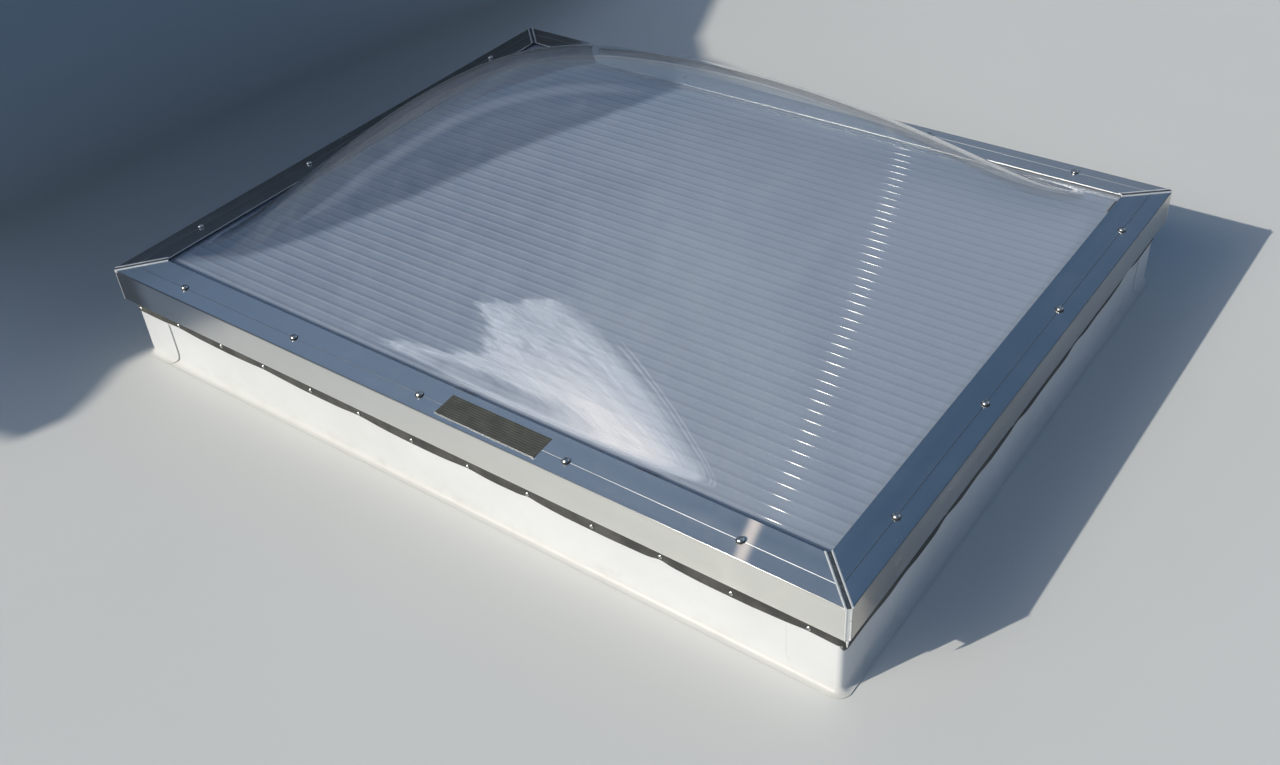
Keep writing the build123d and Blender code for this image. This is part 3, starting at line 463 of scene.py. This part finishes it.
BY_SLOT = {
    "frame_aluminium": FRAME_ALU, "bead_metal": BEAD, "clear_acrylic": ACRYLIC, "polycarbonate": PANEL,
    "closure_foil": CLOSE, "stainless_steel": STEEL, "galvanised_steel": ZINC, "washer_rubber": WASHER,
    "edge_rubber": STRIP, "glazing_rubber": GASKET, "glazing_tape": TAPE, "foam_seal": FOAM, "vinyl": VINYL,
    "white_membrane": MEMBRANE, "timber": TIMBER, "dark_foil": FOIL,
}
SLOT = {s["node"]: s["material_slot"] for s in frame["record"]["subparts"]}
for name, obj in NODES.items():
    slot = SLOT[name]
    if slot == "mill_aluminium":
        dress(obj, ALU_X if name.endswith(("front", "back")) else ALU_Y)
    else:
        dress(obj, BY_SLOT[slot])


# -------------------------------------------------------------------------------------------------------- mesh helpers
def mesh_object(name, verts, faces, mat, smooth_deg=40.0):
    me = bpy.data.meshes.new(name)
    me.from_pydata([tuple(v) for v in verts], [], [tuple(f) for f in faces])
    me.validate()
    bm = bmesh.new()
    bm.from_mesh(me)
    bmesh.ops.recalc_face_normals(bm, faces=bm.faces)
    bm.to_mesh(me)
    bm.free()
    for p in me.polygons:
        p.use_smooth = True
    me.set_sharp_from_angle(angle=math.radians(smooth_deg))
    obj = bpy.data.objects.new(name, me)
    scene.collection.objects.link(obj)
    dress(obj, mat)
    return obj


# ---------------------------------------------------------------------------------------------------------------- dome
def dome_height(x, y):
    """Outer height of the dome above its flange, in metres, for arrays of x and y in metres."""
    u, v = np.minimum(np.abs(x) / 0.589, 1.0), np.minimum(np.abs(y) / 0.4495, 1.0)
    q = (1 - u * u) * (1 - v * v) * (1 + 0.4587 * u * u + 0.2227 * v * v + 0.2713 * u * u * v * v)
    g = 240.0 * np.maximum(q, 0.0) ** 0.9877
    g = g + 4.4 * (1 - np.exp(-g / 12.0))
    return (np.sqrt(g * g + 9.35 ** 2) - 9.35) / 1000.0


def build_dome():
    def stations(n, half, edge):
        t = np.linspace(-1, 1, n)
        s = half * (0.55 * t + 0.45 * np.sin(t * math.pi / 2))
        return np.concatenate([[-edge], s, [edge]])

    xs, ys = stations(190, 0.589, 0.624), stations(150, 0.4495, 0.4845)
    X, Y = np.meshgrid(xs, ys, indexing="ij")
    e = 1e-4
    H = dome_height(X, Y)
    hx = (dome_height(X + e, Y) - dome_height(X - e, Y)) / (2 * e)
    hy = (dome_height(X, Y + e) - dome_height(X, Y - e)) / (2 * e)
    edge = (np.abs(X) >= 0.589) | (np.abs(Y) >= 0.4495)
    top = Z_DOME + H
    low = np.where(edge, Z_DOME - DOME_T, top - DOME_T * np.sqrt(1 + hx ** 2 + hy ** 2))
    nx, ny = X.shape
    n = nx * ny
    verts = np.concatenate([np.stack([X, Y, top], -1).reshape(-1, 3), np.stack([X, Y, low], -1).reshape(-1, 3)])
    idx = np.arange(n).reshape(nx, ny)
    a, b, c, d = idx[:-1, :-1], idx[1:, :-1], idx[1:, 1:], idx[:-1, 1:]
    up = np.stack([a, b, c, d], -1).reshape(-1, 4)
    down = np.stack([a, d, c, b], -1).reshape(-1, 4) + n
    ring = np.concatenate([idx[:, 0], idx[-1, 1:], idx[::-1, -1][1:], idx[0, ::-1][1:]])
    walls = np.stack([ring[:-1], ring[:-1] + n, ring[1:] + n, ring[1:]], -1)
    faces = np.concatenate([up, down, walls])
    obj = mesh_object("dome_clear", verts.tolist(), faces.tolist(), ACRYLIC, 35.0)
    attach(obj, "root")
    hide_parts("dome")
    return obj


build_dome()


# ---------------------------------------------------------------------------------------------------------------- plate
def build_plate():
    """The foil plate: laid on the flange, slightly bowed, its front edge curled up."""
    lo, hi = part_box("data_plate")
    x0, x1 = lo[0], hi[0]
    x0, x1 = x0 - 0.001, x1 - 0.001
    d0, d1 = lo[1] + HY - 0.0025, hi[1] + HY - 0.0025
    thick = 0.0004
    xs, ds = np.linspace(x0, x1, 120), d0 + (d1 - d0) * np.linspace(0, 1, 40) ** 1.25
    X, D = np.meshgrid(xs, ds, indexing="ij")
    u, v = (X - x0) / (x1 - x0), (D - d0) / (d1 - d0)
    bow = 0.00028 * np.sin(math.pi * v) * (0.6 + 0.4 * np.sin(9.0 * u + 1.1)) * np.sin(math.pi * u) ** 0.5
    curl = 0.0011 * np.clip(1 - (D - d0) / 0.0034, 0, 1) ** 2 * (0.75 + 0.25 * np.sin(17.0 * u) * np.sin(5.0 * u + 0.6))
    corner = 0.0006 * np.clip(1 - (x1 - X) / 0.010, 0, 1) ** 2 * np.clip(1 - (D - d0) / 0.014, 0, 1)
    low = z_top(D) + 0.00006 + bow + curl + corner
    y = -HY + D + 0.0005 * np.clip(1 - (D - d0) / 0.0034, 0, 1) ** 2
    n = X.size
    verts = np.concatenate([np.stack([X, y, low + thick], -1).reshape(-1, 3), np.stack([X, y, low], -1).reshape(-1, 3)])
    idx = np.arange(n).reshape(X.shape)
    a, b, c, d = idx[:-1, :-1], idx[1:, :-1], idx[1:, 1:], idx[:-1, 1:]
    up = np.stack([a, b, c, d], -1).reshape(-1, 4)
    down = np.stack([a, d, c, b], -1).reshape(-1, 4) + n
    ring = np.concatenate([idx[:, 0], idx[-1, 1:], idx[::-1, -1][1:], idx[0, ::-1][1:]])
    walls = np.stack([ring[:-1], ring[:-1] + n, ring[1:] + n, ring[1:]], -1)
    obj = mesh_object("data_plate_foil", verts.tolist(), np.concatenate([up, down, walls]).tolist(), FOIL, 40.0)
    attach(obj, "root")
    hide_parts("data_plate")


build_plate()


# ------------------------------------------------------------------------------------------------------------- membrane
def slow(s, seed, waves=((0.9, 1.0), (2.1, 0.6), (4.7, 0.35), (9.3, 0.16))):
    """A slow random wave along s in metres, from -1 to 1 about."""
    out = np.zeros_like(s)
    for i, (f, a) in enumerate(waves):
        ph = math.sin(seed * 12.9898 + i * 78.233) * 43758.5453
        out = out + a * np.sin(2 * math.pi * f * s + 6.283 * (ph - math.floor(ph)))
    return out / 1.5


def plan_ring(half_x, half_y, r, step):
    """Points and outward normals round a rounded rectangle, counter-clockwise, with the place along it."""
    pts = []
    quarter = [(half_x - r, -half_y + r, -90), (half_x - r, half_y - r, 0), (-half_x + r, half_y - r, 90), (-half_x + r, -half_y + r, 180)]
    for k, (cx, cy, a0) in enumerate(quarter):
        for a in np.linspace(a0, a0 + 90, 13):
            ca, sa = math.cos(math.radians(a)), math.sin(math.radians(a))
            pts.append((cx, cy, ca, sa, r))
        nx, ny, na = quarter[(k + 1) % 4]
        ca, sa = math.cos(math.radians(a0 + 90)), math.sin(math.radians(a0 + 90))
        length = math.hypot(nx - cx, ny - cy)
        for q in np.linspace(0, 1, max(2, int(length / step)))[1:-1]:
            pts.append((cx + (nx - cx) * q, cy + (ny - cy) * q, ca, sa, r))
    return np.array(pts)


def sheet_shift(P, z, top=0.080):
    """How far the loose sheet stands off its board, in metres: nothing where the strip clamps it."""
    x, y = P[..., 0], P[..., 1]
    loose = np.clip((top - z) / 0.035, 0, 1) * np.clip((z - 0.004) / 0.012, 0, 1)
    wave = slow(x + 0.7 * y, 3) * 0.6 + slow(1.3 * y - 0.4 * x + 6.0 * z, 5) * 0.4
    return 0.00075 * loose * (wave + 0.35)


def wrap(name, profile, step, mat, nodes, span=None, thick=0.0015, extra=0.0, side_top=None):
    """A sheet round the curb: profile is (out, height) from the wall's foot up, span picks stretches of the ring."""
    ring = plan_ring(0.642 + 0.0015, 0.5025 + 0.0015, 0.008, step)
    if span is not None:
        ring = span(ring)
    prof = np.array(profile)
    cx, cy, nx, ny, r = [ring[:, i][:, None] for i in range(5)]
    out, z = prof[:, 0][None], prof[:, 1][None]

    def place(o, zz):
        if side_top:
            f = np.clip((nx - 0.35) / 0.30, 0, 1)
            drop = 1.0 - f * (PATCH_TOP - side_top) / (PATCH_TOP - 0.012)
            zz = np.where(zz > 0.012, 0.012 + (zz - 0.012) * drop, zz)
        P = np.stack([cx + nx * (r + o), cy + ny * (r + o), zz + 0 * cx], -1)
        if span is not None:                                       # the two lower corners are rounded off
            u = np.clip(1 - P[..., 2] / PATCH_R, 0, 1)
            k = PATCH_R * (1 - np.sqrt(np.maximum(1 - u * u, 0.0)))
            ex, ey = np.abs(P[..., 0]), np.abs(P[..., 1])
            P[..., 0] += np.sign(P[..., 0]) * k * np.clip((0.634 - ex) / 0.0655, 0, 1) * (np.abs(ny) > 0.99)
            P[..., 1] += np.sign(P[..., 1]) * k * np.clip((0.494 - ey) / 0.0520, 0, 1) * (np.abs(nx) > 0.99)
        s = sheet_shift(P, P[..., 2])
        P[..., 0] += nx * s
        P[..., 1] += ny * s
        return P
    A = place(out + extra, z + 0 * cx)
    tang = np.gradient(prof, axis=0)
    ln = np.hypot(tang[:, 0], tang[:, 1])
    no, nz = tang[:, 1] / ln, -tang[:, 0] / ln                      # outward side of the profile
    B = place(out + extra - no[None] * thick, np.maximum(z - nz[None] * thick, 0.0) + 0 * cx)
    m_, k_ = A.shape[:2]
    verts = np.concatenate([A.reshape(-1, 3), B.reshape(-1, 3)])
    n = m_ * k_
    idx = np.arange(n).reshape(m_, k_)
    if span is None:
        idx = np.concatenate([idx, idx[:1]], 0)
    a, b, c, d = idx[:-1, :-1], idx[1:, :-1], idx[1:, 1:], idx[:-1, 1:]
    outer = np.stack([a, b, c, d], -1).reshape(-1, 4)
    inner = np.stack([a, d, c, b], -1).reshape(-1, 4) + n
    low = np.stack([idx[:-1, 0], idx[1:, 0], idx[1:, 0] + n, idx[:-1, 0] + n], -1)
    high = np.stack([idx[:-1, -1], idx[1:, -1], idx[1:, -1] + n, idx[:-1, -1] + n], -1)
    faces = [outer, inner, low, high]
    if span is not None:
        for e in (0, -1):
            faces.append(np.stack([idx[e, :-1], idx[e, 1:], idx[e, 1:] + n, idx[e, :-1] + n], -1))
    obj = mesh_object(name, verts.tolist(), np.concatenate(faces).tolist(), mat, 35.0)
    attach(obj, "root")
    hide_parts(*nodes)
    return obj


def cove(r, foot, top, n=9, foot_n=2, wall_n=18):
    """Profile from the end of the foot, round the cove and up the wall: (out, height)."""
    pts = [(r + 0.0003 - 0.0003 * i / foot_n, foot) for i in range(foot_n)]
    for a in np.linspace(0, 90, n):
        pts.append((r - r * math.sin(math.radians(a)), foot + r - r * math.cos(math.radians(a))))
    for z in np.linspace(foot + r, top, wall_n)[1:]:
        pts.append((0.0, z))
    return pts


def build_membrane():
    wrap("membrane_wrap", cove(0.0097, 0.0003, 0.138, wall_n=30), 0.006, MEMBRANE,
         ["membrane_" + s for s in ("front", "back", "left", "right")])
    for name, sx, sy in (("front_left", -1, -1), ("front_right", 1, -1), ("back_left", -1, 1), ("back_right", 1, 1)):
        def span(ring, sx=sx, sy=sy):
            full = plan_ring(0.6435, 0.504, 0.008, 0.0025)
            px, py = full[:, 0] + full[:, 2] * 0.008, full[:, 1] + full[:, 3] * 0.008
            near = (px * sx > 0.6435 - 0.075) & (py * sy > 0.504 - 0.062)
            keep = np.where(near)[0]
            gaps = np.where(np.diff(keep) > 1)[0]
            if len(gaps):
                keep = np.concatenate([keep[gaps[0] + 1:], keep[:gaps[0] + 1]])
            return full[keep]
        prof = cove(0.0088, 0.0012, 0.084, wall_n=22)
        obj = wrap("corner_patch_skin_" + name, prof, 0.0025, MEMBRANE, ["corner_patch_" + name], span, 0.0008, 0.0009,
                   PATCH_SIDE_TOP.get(name))
        bev = obj.modifiers.new("soft", "BEVEL")
        bev.width, bev.segments, bev.limit_method, bev.angle_limit = 0.00035, 2, "ANGLE", math.radians(50)


build_membrane()

# ------------------------------------------------------------------------------------------------- stage, light, camera
def build_floor():
    s = 45.0
    verts = [(-s, -s, 0), (s, -s, 0), (s, s, 0), (-s, s, 0)]
    m = Mat("floor")
    n = m.noise(m.pos, 1.3, 4.0, 0.55)
    base = m.mix(n, (0.64, 0.645, 0.635), (0.70, 0.705, 0.695))
    x, y, z = m.xyz()
    # Painted shade: a darker zone on the floor at the back left, deepening the shade there.
    floor_painted_shade = m.mul(m.range(m.add(x, m.mul(y, 0.10)), -0.66, -0.92), m.range(y, -0.85, -0.35))
    base = m.mix(m.mul(floor_painted_shade, 0.42), base, (0.22, 0.235, 0.235))
    p = m.principled(Base_Color=base, Roughness=0.75, Specular_IOR_Level=0.25)
    me = bpy.data.meshes.new("floor")
    me.from_pydata(verts, [], [(0, 1, 2, 3)])
    obj = bpy.data.objects.new("floor", me)
    scene.collection.objects.link(obj)
    obj.location.z = -0.0005
    dress(obj, m.surface(p.outputs[0]))


def build_world():
    """Soft daylight by direction: a mid blue sky, paler low down and overhead, and a bright veil of cloud round the sun."""
    w = bpy.data.worlds.new("sky")
    scene.world = w
    w.use_nodes = True
    t = Tree(w.node_tree)
    out = t.node("ShaderNodeOutputWorld")
    d = t.node("ShaderNodeTexCoord").outputs["Generated"]
    x, y, z = t.sep(d)
    el = t.mul(t.math("ARCSINE", z), 180 / math.pi)
    az = t.mul(t.math("ARCTAN2", y, x), 180 / math.pi)
    sky = t.ramp(t.math("DIVIDE", t.add(el, 10.0), 100.0, clamp=True),
                 [(0.0, (0.10, 0.11, 0.11)), (0.095, (0.13, 0.14, 0.145)), (0.13, (0.17, 0.22, 0.27)), (0.22, (0.12, 0.18, 0.26)),
                  (0.40, (0.072, 0.136, 0.242)), (0.60, (0.070, 0.132, 0.232)), (1.0, (0.085, 0.145, 0.235))])
    spread = t.node("ShaderNodeLightPath").outputs["Is Diffuse Ray"]

    def angle_to(a, e):
        a, e = math.radians(a), math.radians(e)
        v = (math.cos(e) * math.cos(a), math.cos(e) * math.sin(a), math.sin(e))
        return t.mul(t.math("ARCCOSINE", t.vmath("DOT_PRODUCT", d, v)), 180 / math.pi)

    soft = t.noise(t.vmath("MULTIPLY", d, (2.2, 2.2, 4.5)), 1.0, 4.0, 0.55, 0.4)
    bank = t.mul(t.range(t.add(angle_to(52, 24), t.mul(t.sub(soft, 0.5), 16.0)), 40.0, 12.0), t.range(spread, 0, 1, 0.36, 0.08, False))
    veil = t.mul(t.range(angle_to(60, 84), 36.0, 6.0), t.range(spread, 0, 1, 0.20, 0.02, False))
    thin = t.mul(t.mul(t.range(t.math("ABSOLUTE", t.sub(el, 24.5)), 4.5, 0.5), t.range(t.math("ABSOLUTE", t.sub(az, 154.0)), 34.0, 20.0)),
                 t.range(spread, 0, 1, 0.24, 0.05, False))
    front = t.mul(t.range(angle_to(147, 42), 24.0, 8.0), t.range(spread, 0, 1, 0.085, 0.0, False))
    low = t.mul(t.range(angle_to(108, 18), 15.0, 6.0), t.range(spread, 0, 1, 0.09, 0.0, False))
    light = t.add(t.add(bank, veil), t.add(t.add(thin, low), front))
    dim = t.sub(1.0, t.mul(t.range(angle_to(100, 39), 24.0, 8.0), t.range(spread, 0, 1, 0.26, 0.0, False)))
    sky = t.mix(1.0, sky, t.comb(dim, dim, dim), "MULTIPLY")
    sky = t.mix(1.0, sky, t.mix(1.0, (0.92, 0.97, 1.04), t.comb(light, light, light), "MULTIPLY"), "ADD")
    near = t.vmath("DOT_PRODUCT", d, tuple(SUN))
    ang = t.mul(t.math("ARCCOSINE", near), 180 / math.pi)
    glow = t.math("POWER", t.range(ang, 44.0, 0.0, 0.0, 1.0, False), 0.8)
    drift = t.noise(t.vmath("MULTIPLY", d, (3.0, 3.0, 5.0)), 1.0, 3.0, 0.5, color=True)
    bent = t.vmath("ADD", d, t.vmath("SCALE", t.vmath("SUBTRACT", drift, (0.5, 0.5, 0.5)), scale=0.35))
    wisps = t.noise(t.vmath("MULTIPLY", bent, (9.0, 9.0, 22.0)), 1.0, 7.0, 0.66, 0.9)
    fine = t.noise(t.vmath("MULTIPLY", bent, (30.0, 30.0, 60.0)), 1.0, 5.0, 0.7, 0.5)
    jag = t.mul(t.sub(t.noise(t.vmath("MULTIPLY", d, (16.0, 16.0, 26.0)), 1.0, 7.0, 0.7, 1.4), 0.5), 6.0)
    limit = t.ramp(t.range(el, 15.0, 55.0, 0.0, 1.0, False),
                   [((e - 15.0) / 40.0, (a + 145.0) / 20.0) for e, a in ((15, -132.0), (20, -134.6), (22.5, -134.4), (25, -132.2), (28, -131.8),
                                                                    (30.5, -133.0), (33.5, -134.4), (35, -136.2), (36.6, -138.6), (46, -139.4))])
    left = t.range(t.sub(t.add(az, jag), t.sub(t.mul(limit, 20.0), 145.0)), -0.7, 0.9)
    upper = t.range(t.add(el, t.add(t.mul(jag, 0.5), t.mul(t.sub(fine, 0.5), 7.0))), 50.2, 46.0)
    lower = t.range(t.add(el, t.mul(jag, 0.6)), 19.5, 22.5)
    slant = t.sub(el, t.add(25.0, t.mul(t.add(az, 130.0), 0.85)))
    gap = t.mul(t.range(t.math("ABSOLUTE", t.add(t.add(slant, 1.9), t.mul(t.sub(wisps, 0.5), 5.0))), 2.6, 0.7),
                t.mul(t.range(az, -133.0, -130.5), t.range(az, -124.5, -127.0)))
    gap = t.mul(gap, t.range(fine, 0.25, 0.65, 1.0, 0.65))
    hairs = t.mul(t.add(t.range(t.math("ABSOLUTE", t.sub(t.add(el, t.mul(jag, 0.12)), 50.5)), 0.55, 0.10),
                        t.range(t.math("ABSOLUTE", t.sub(t.add(el, t.mul(jag, 0.12)), 51.9)), 0.40, 0.08)), t.range(az, -131.0, -127.0))
    body = t.add(0.20, t.add(t.mul(t.range(wisps, 0.30, 0.60), 0.44), t.mul(t.range(fine, 0.30, 0.68), 0.42)))
    core = t.mul(t.range(t.add(ang, t.mul(t.sub(wisps, 0.5), 8.0)), 13.0, 5.0), t.range(el, 27.0, 30.0, 0.15, 0.62))
    mass = t.mul(t.mul(left, t.mul(upper, lower)), t.mul(t.add(body, core), t.sub(1.0, gap)))
    cloud = t.mul(glow, t.add(mass, t.mul(hairs, 0.42)))
    tint = t.mix(t.range(ang, 15.0, 5.0), (0.93, 0.96, 1.0), (1.0, 0.915, 0.82))
    bg1 = t.node("ShaderNodeBackground", {"Color": sky, "Strength": 1.0})
    bg2 = t.node("ShaderNodeBackground", {"Color": tint, "Strength": t.mul(cloud, t.range(spread, 0.0, 1.0, 5.2, 0.70, False))})
    s = t.node("ShaderNodeAddShader")
    t.nt.links.new(bg1.outputs[0], s.inputs[0])
    t.nt.links.new(bg2.outputs[0], s.inputs[1])
    t.nt.links.new(s.outputs[0], out.inputs["Surface"])


def build_sun():
    lamp = bpy.data.lights.new("sun", "SUN")
    lamp.energy = 3.15
    lamp.color = (1.0, 0.94, 0.81)
    lamp.angle = math.radians(0.6)
    obj = bpy.data.objects.new("sun", lamp)
    scene.collection.objects.link(obj)
    obj.rotation_euler = SUN.to_track_quat("Z", "Y").to_euler()


def build_flag():
    """A flag beside the set, seen only as its shadow: it keeps the sun off the left rail and the back left of the dome,
    as in the photograph."""
    edge = [(-16.0, -1.9), (-1.50, -1.20), (-0.76, -1.00), (-0.735, -0.92), (-0.75, -0.86), (-0.779, -0.79), (-0.765, -0.72), (-0.70, -0.56),
            (-0.615, -0.462), (-0.507, -0.385), (-0.462, -0.30), (-0.395, -0.10), (-0.353, 0.096), (-0.249, 0.403),
            (-0.228, 0.475), (-0.262, 0.552), (-0.58, 0.632), (-0.655, 0.72), (-0.90, 1.30), (-2.6, 5.0), (-9.0, 16.0), (-16.0, 16.0)]
    me = bpy.data.meshes.new("flag")
    me.from_pydata([(Vector((x, y, 0.1616)) + 2.2 * SUN)[:] for x, y in edge], [], [list(range(len(edge)))])
    obj = bpy.data.objects.new("flag", me)
    scene.collection.objects.link(obj)
    m = Mat("flag")
    dress(obj, m.surface(m.principled(Base_Color=(0.02, 0.02, 0.02), Roughness=0.9).outputs[0]))
    obj.visible_camera = obj.visible_diffuse = obj.visible_glossy = obj.visible_transmission = False


def build_screen():
    """Low dark screens to the left and behind, seen only in reflections: they stand for the darker surroundings there."""
    path = [(-1.30, -0.62), (-1.24, 0.30), (-1.12, 0.85), (-1.00, 1.15)]
    tops = [0.52, 0.74, 0.74, 0.56]
    verts = [(x, y, 0.0) for x, y in path] + [(x, y, h) for (x, y), h in zip(path, tops)]
    n = len(path)
    me = bpy.data.meshes.new("screen")
    me.from_pydata(verts, [], [(i, i + 1, n + i + 1, n + i) for i in range(n - 1)])
    obj = bpy.data.objects.new("screen", me)
    scene.collection.objects.link(obj)
    m = Mat("screen")
    n1 = m.noise(m.pos, 6.0, 4.0, 0.6)
    dress(obj, m.surface(m.principled(Base_Color=m.mix(n1, (0.035, 0.036, 0.036), (0.07, 0.068, 0.064)), Roughness=0.9).outputs[0]))
    obj.visible_camera = obj.visible_transmission = obj.visible_shadow = False
    low = [(-0.98, 1.16), (-0.20, 1.24), (0.70, 1.22), (1.80, 1.12)]
    verts = [(x, y, 0.10) for x, y in low] + [(x, y, 0.33) for x, y in low]
    n = len(low)
    me = bpy.data.meshes.new("screen_low")
    me.from_pydata(verts, [], [(i, i + 1, n + i + 1, n + i) for i in range(n - 1)])
    far = bpy.data.objects.new("screen_low", me)
    scene.collection.objects.link(far)
    dress(far, obj.data.materials[0])
    far.visible_camera = far.visible_transmission = far.visible_shadow = far.visible_diffuse = False


def build_camera():
    cam = bpy.data.cameras.new("camera")
    cam.sensor_width = 36.0
    cam.sensor_fit = "HORIZONTAL"
    cam.lens = 37.24484
    cam.clip_start, cam.clip_end = 0.05, 100.0
    obj = bpy.data.objects.new("camera", cam)
    scene.collection.objects.link(obj)
    right = Vector((0.80780084, 0.58610544, -0.06275519))
    down = Vector((0.32542855, -0.53220639, -0.78157061))
    ahead = Vector((-0.4914815, 0.61093106, -0.62065221))
    turn = Matrix((right, -down, -ahead)).transposed().to_4x4()
    obj.matrix_world = Matrix.Translation(Vector((1.09911587, -1.39974369, 1.26924798))) @ turn
    scene.camera = obj


build_floor()
build_world()
build_sun()
build_flag()
build_screen()
build_camera()
scene.view_settings.view_transform = "Standard"
scene.view_settings.look = "None"
scene.cycles.max_bounces = 12
scene.cycles.transmission_bounces = 10
scene.cycles.transparent_max_bounces = 16
scene.cycles.glossy_bounces = 5
scene.cycles.diffuse_bounces = 3
scene.cycles.sample_clamp_indirect = 6.0
scene.cycles.caustics_reflective = False
scene.cycles.caustics_refractive = False
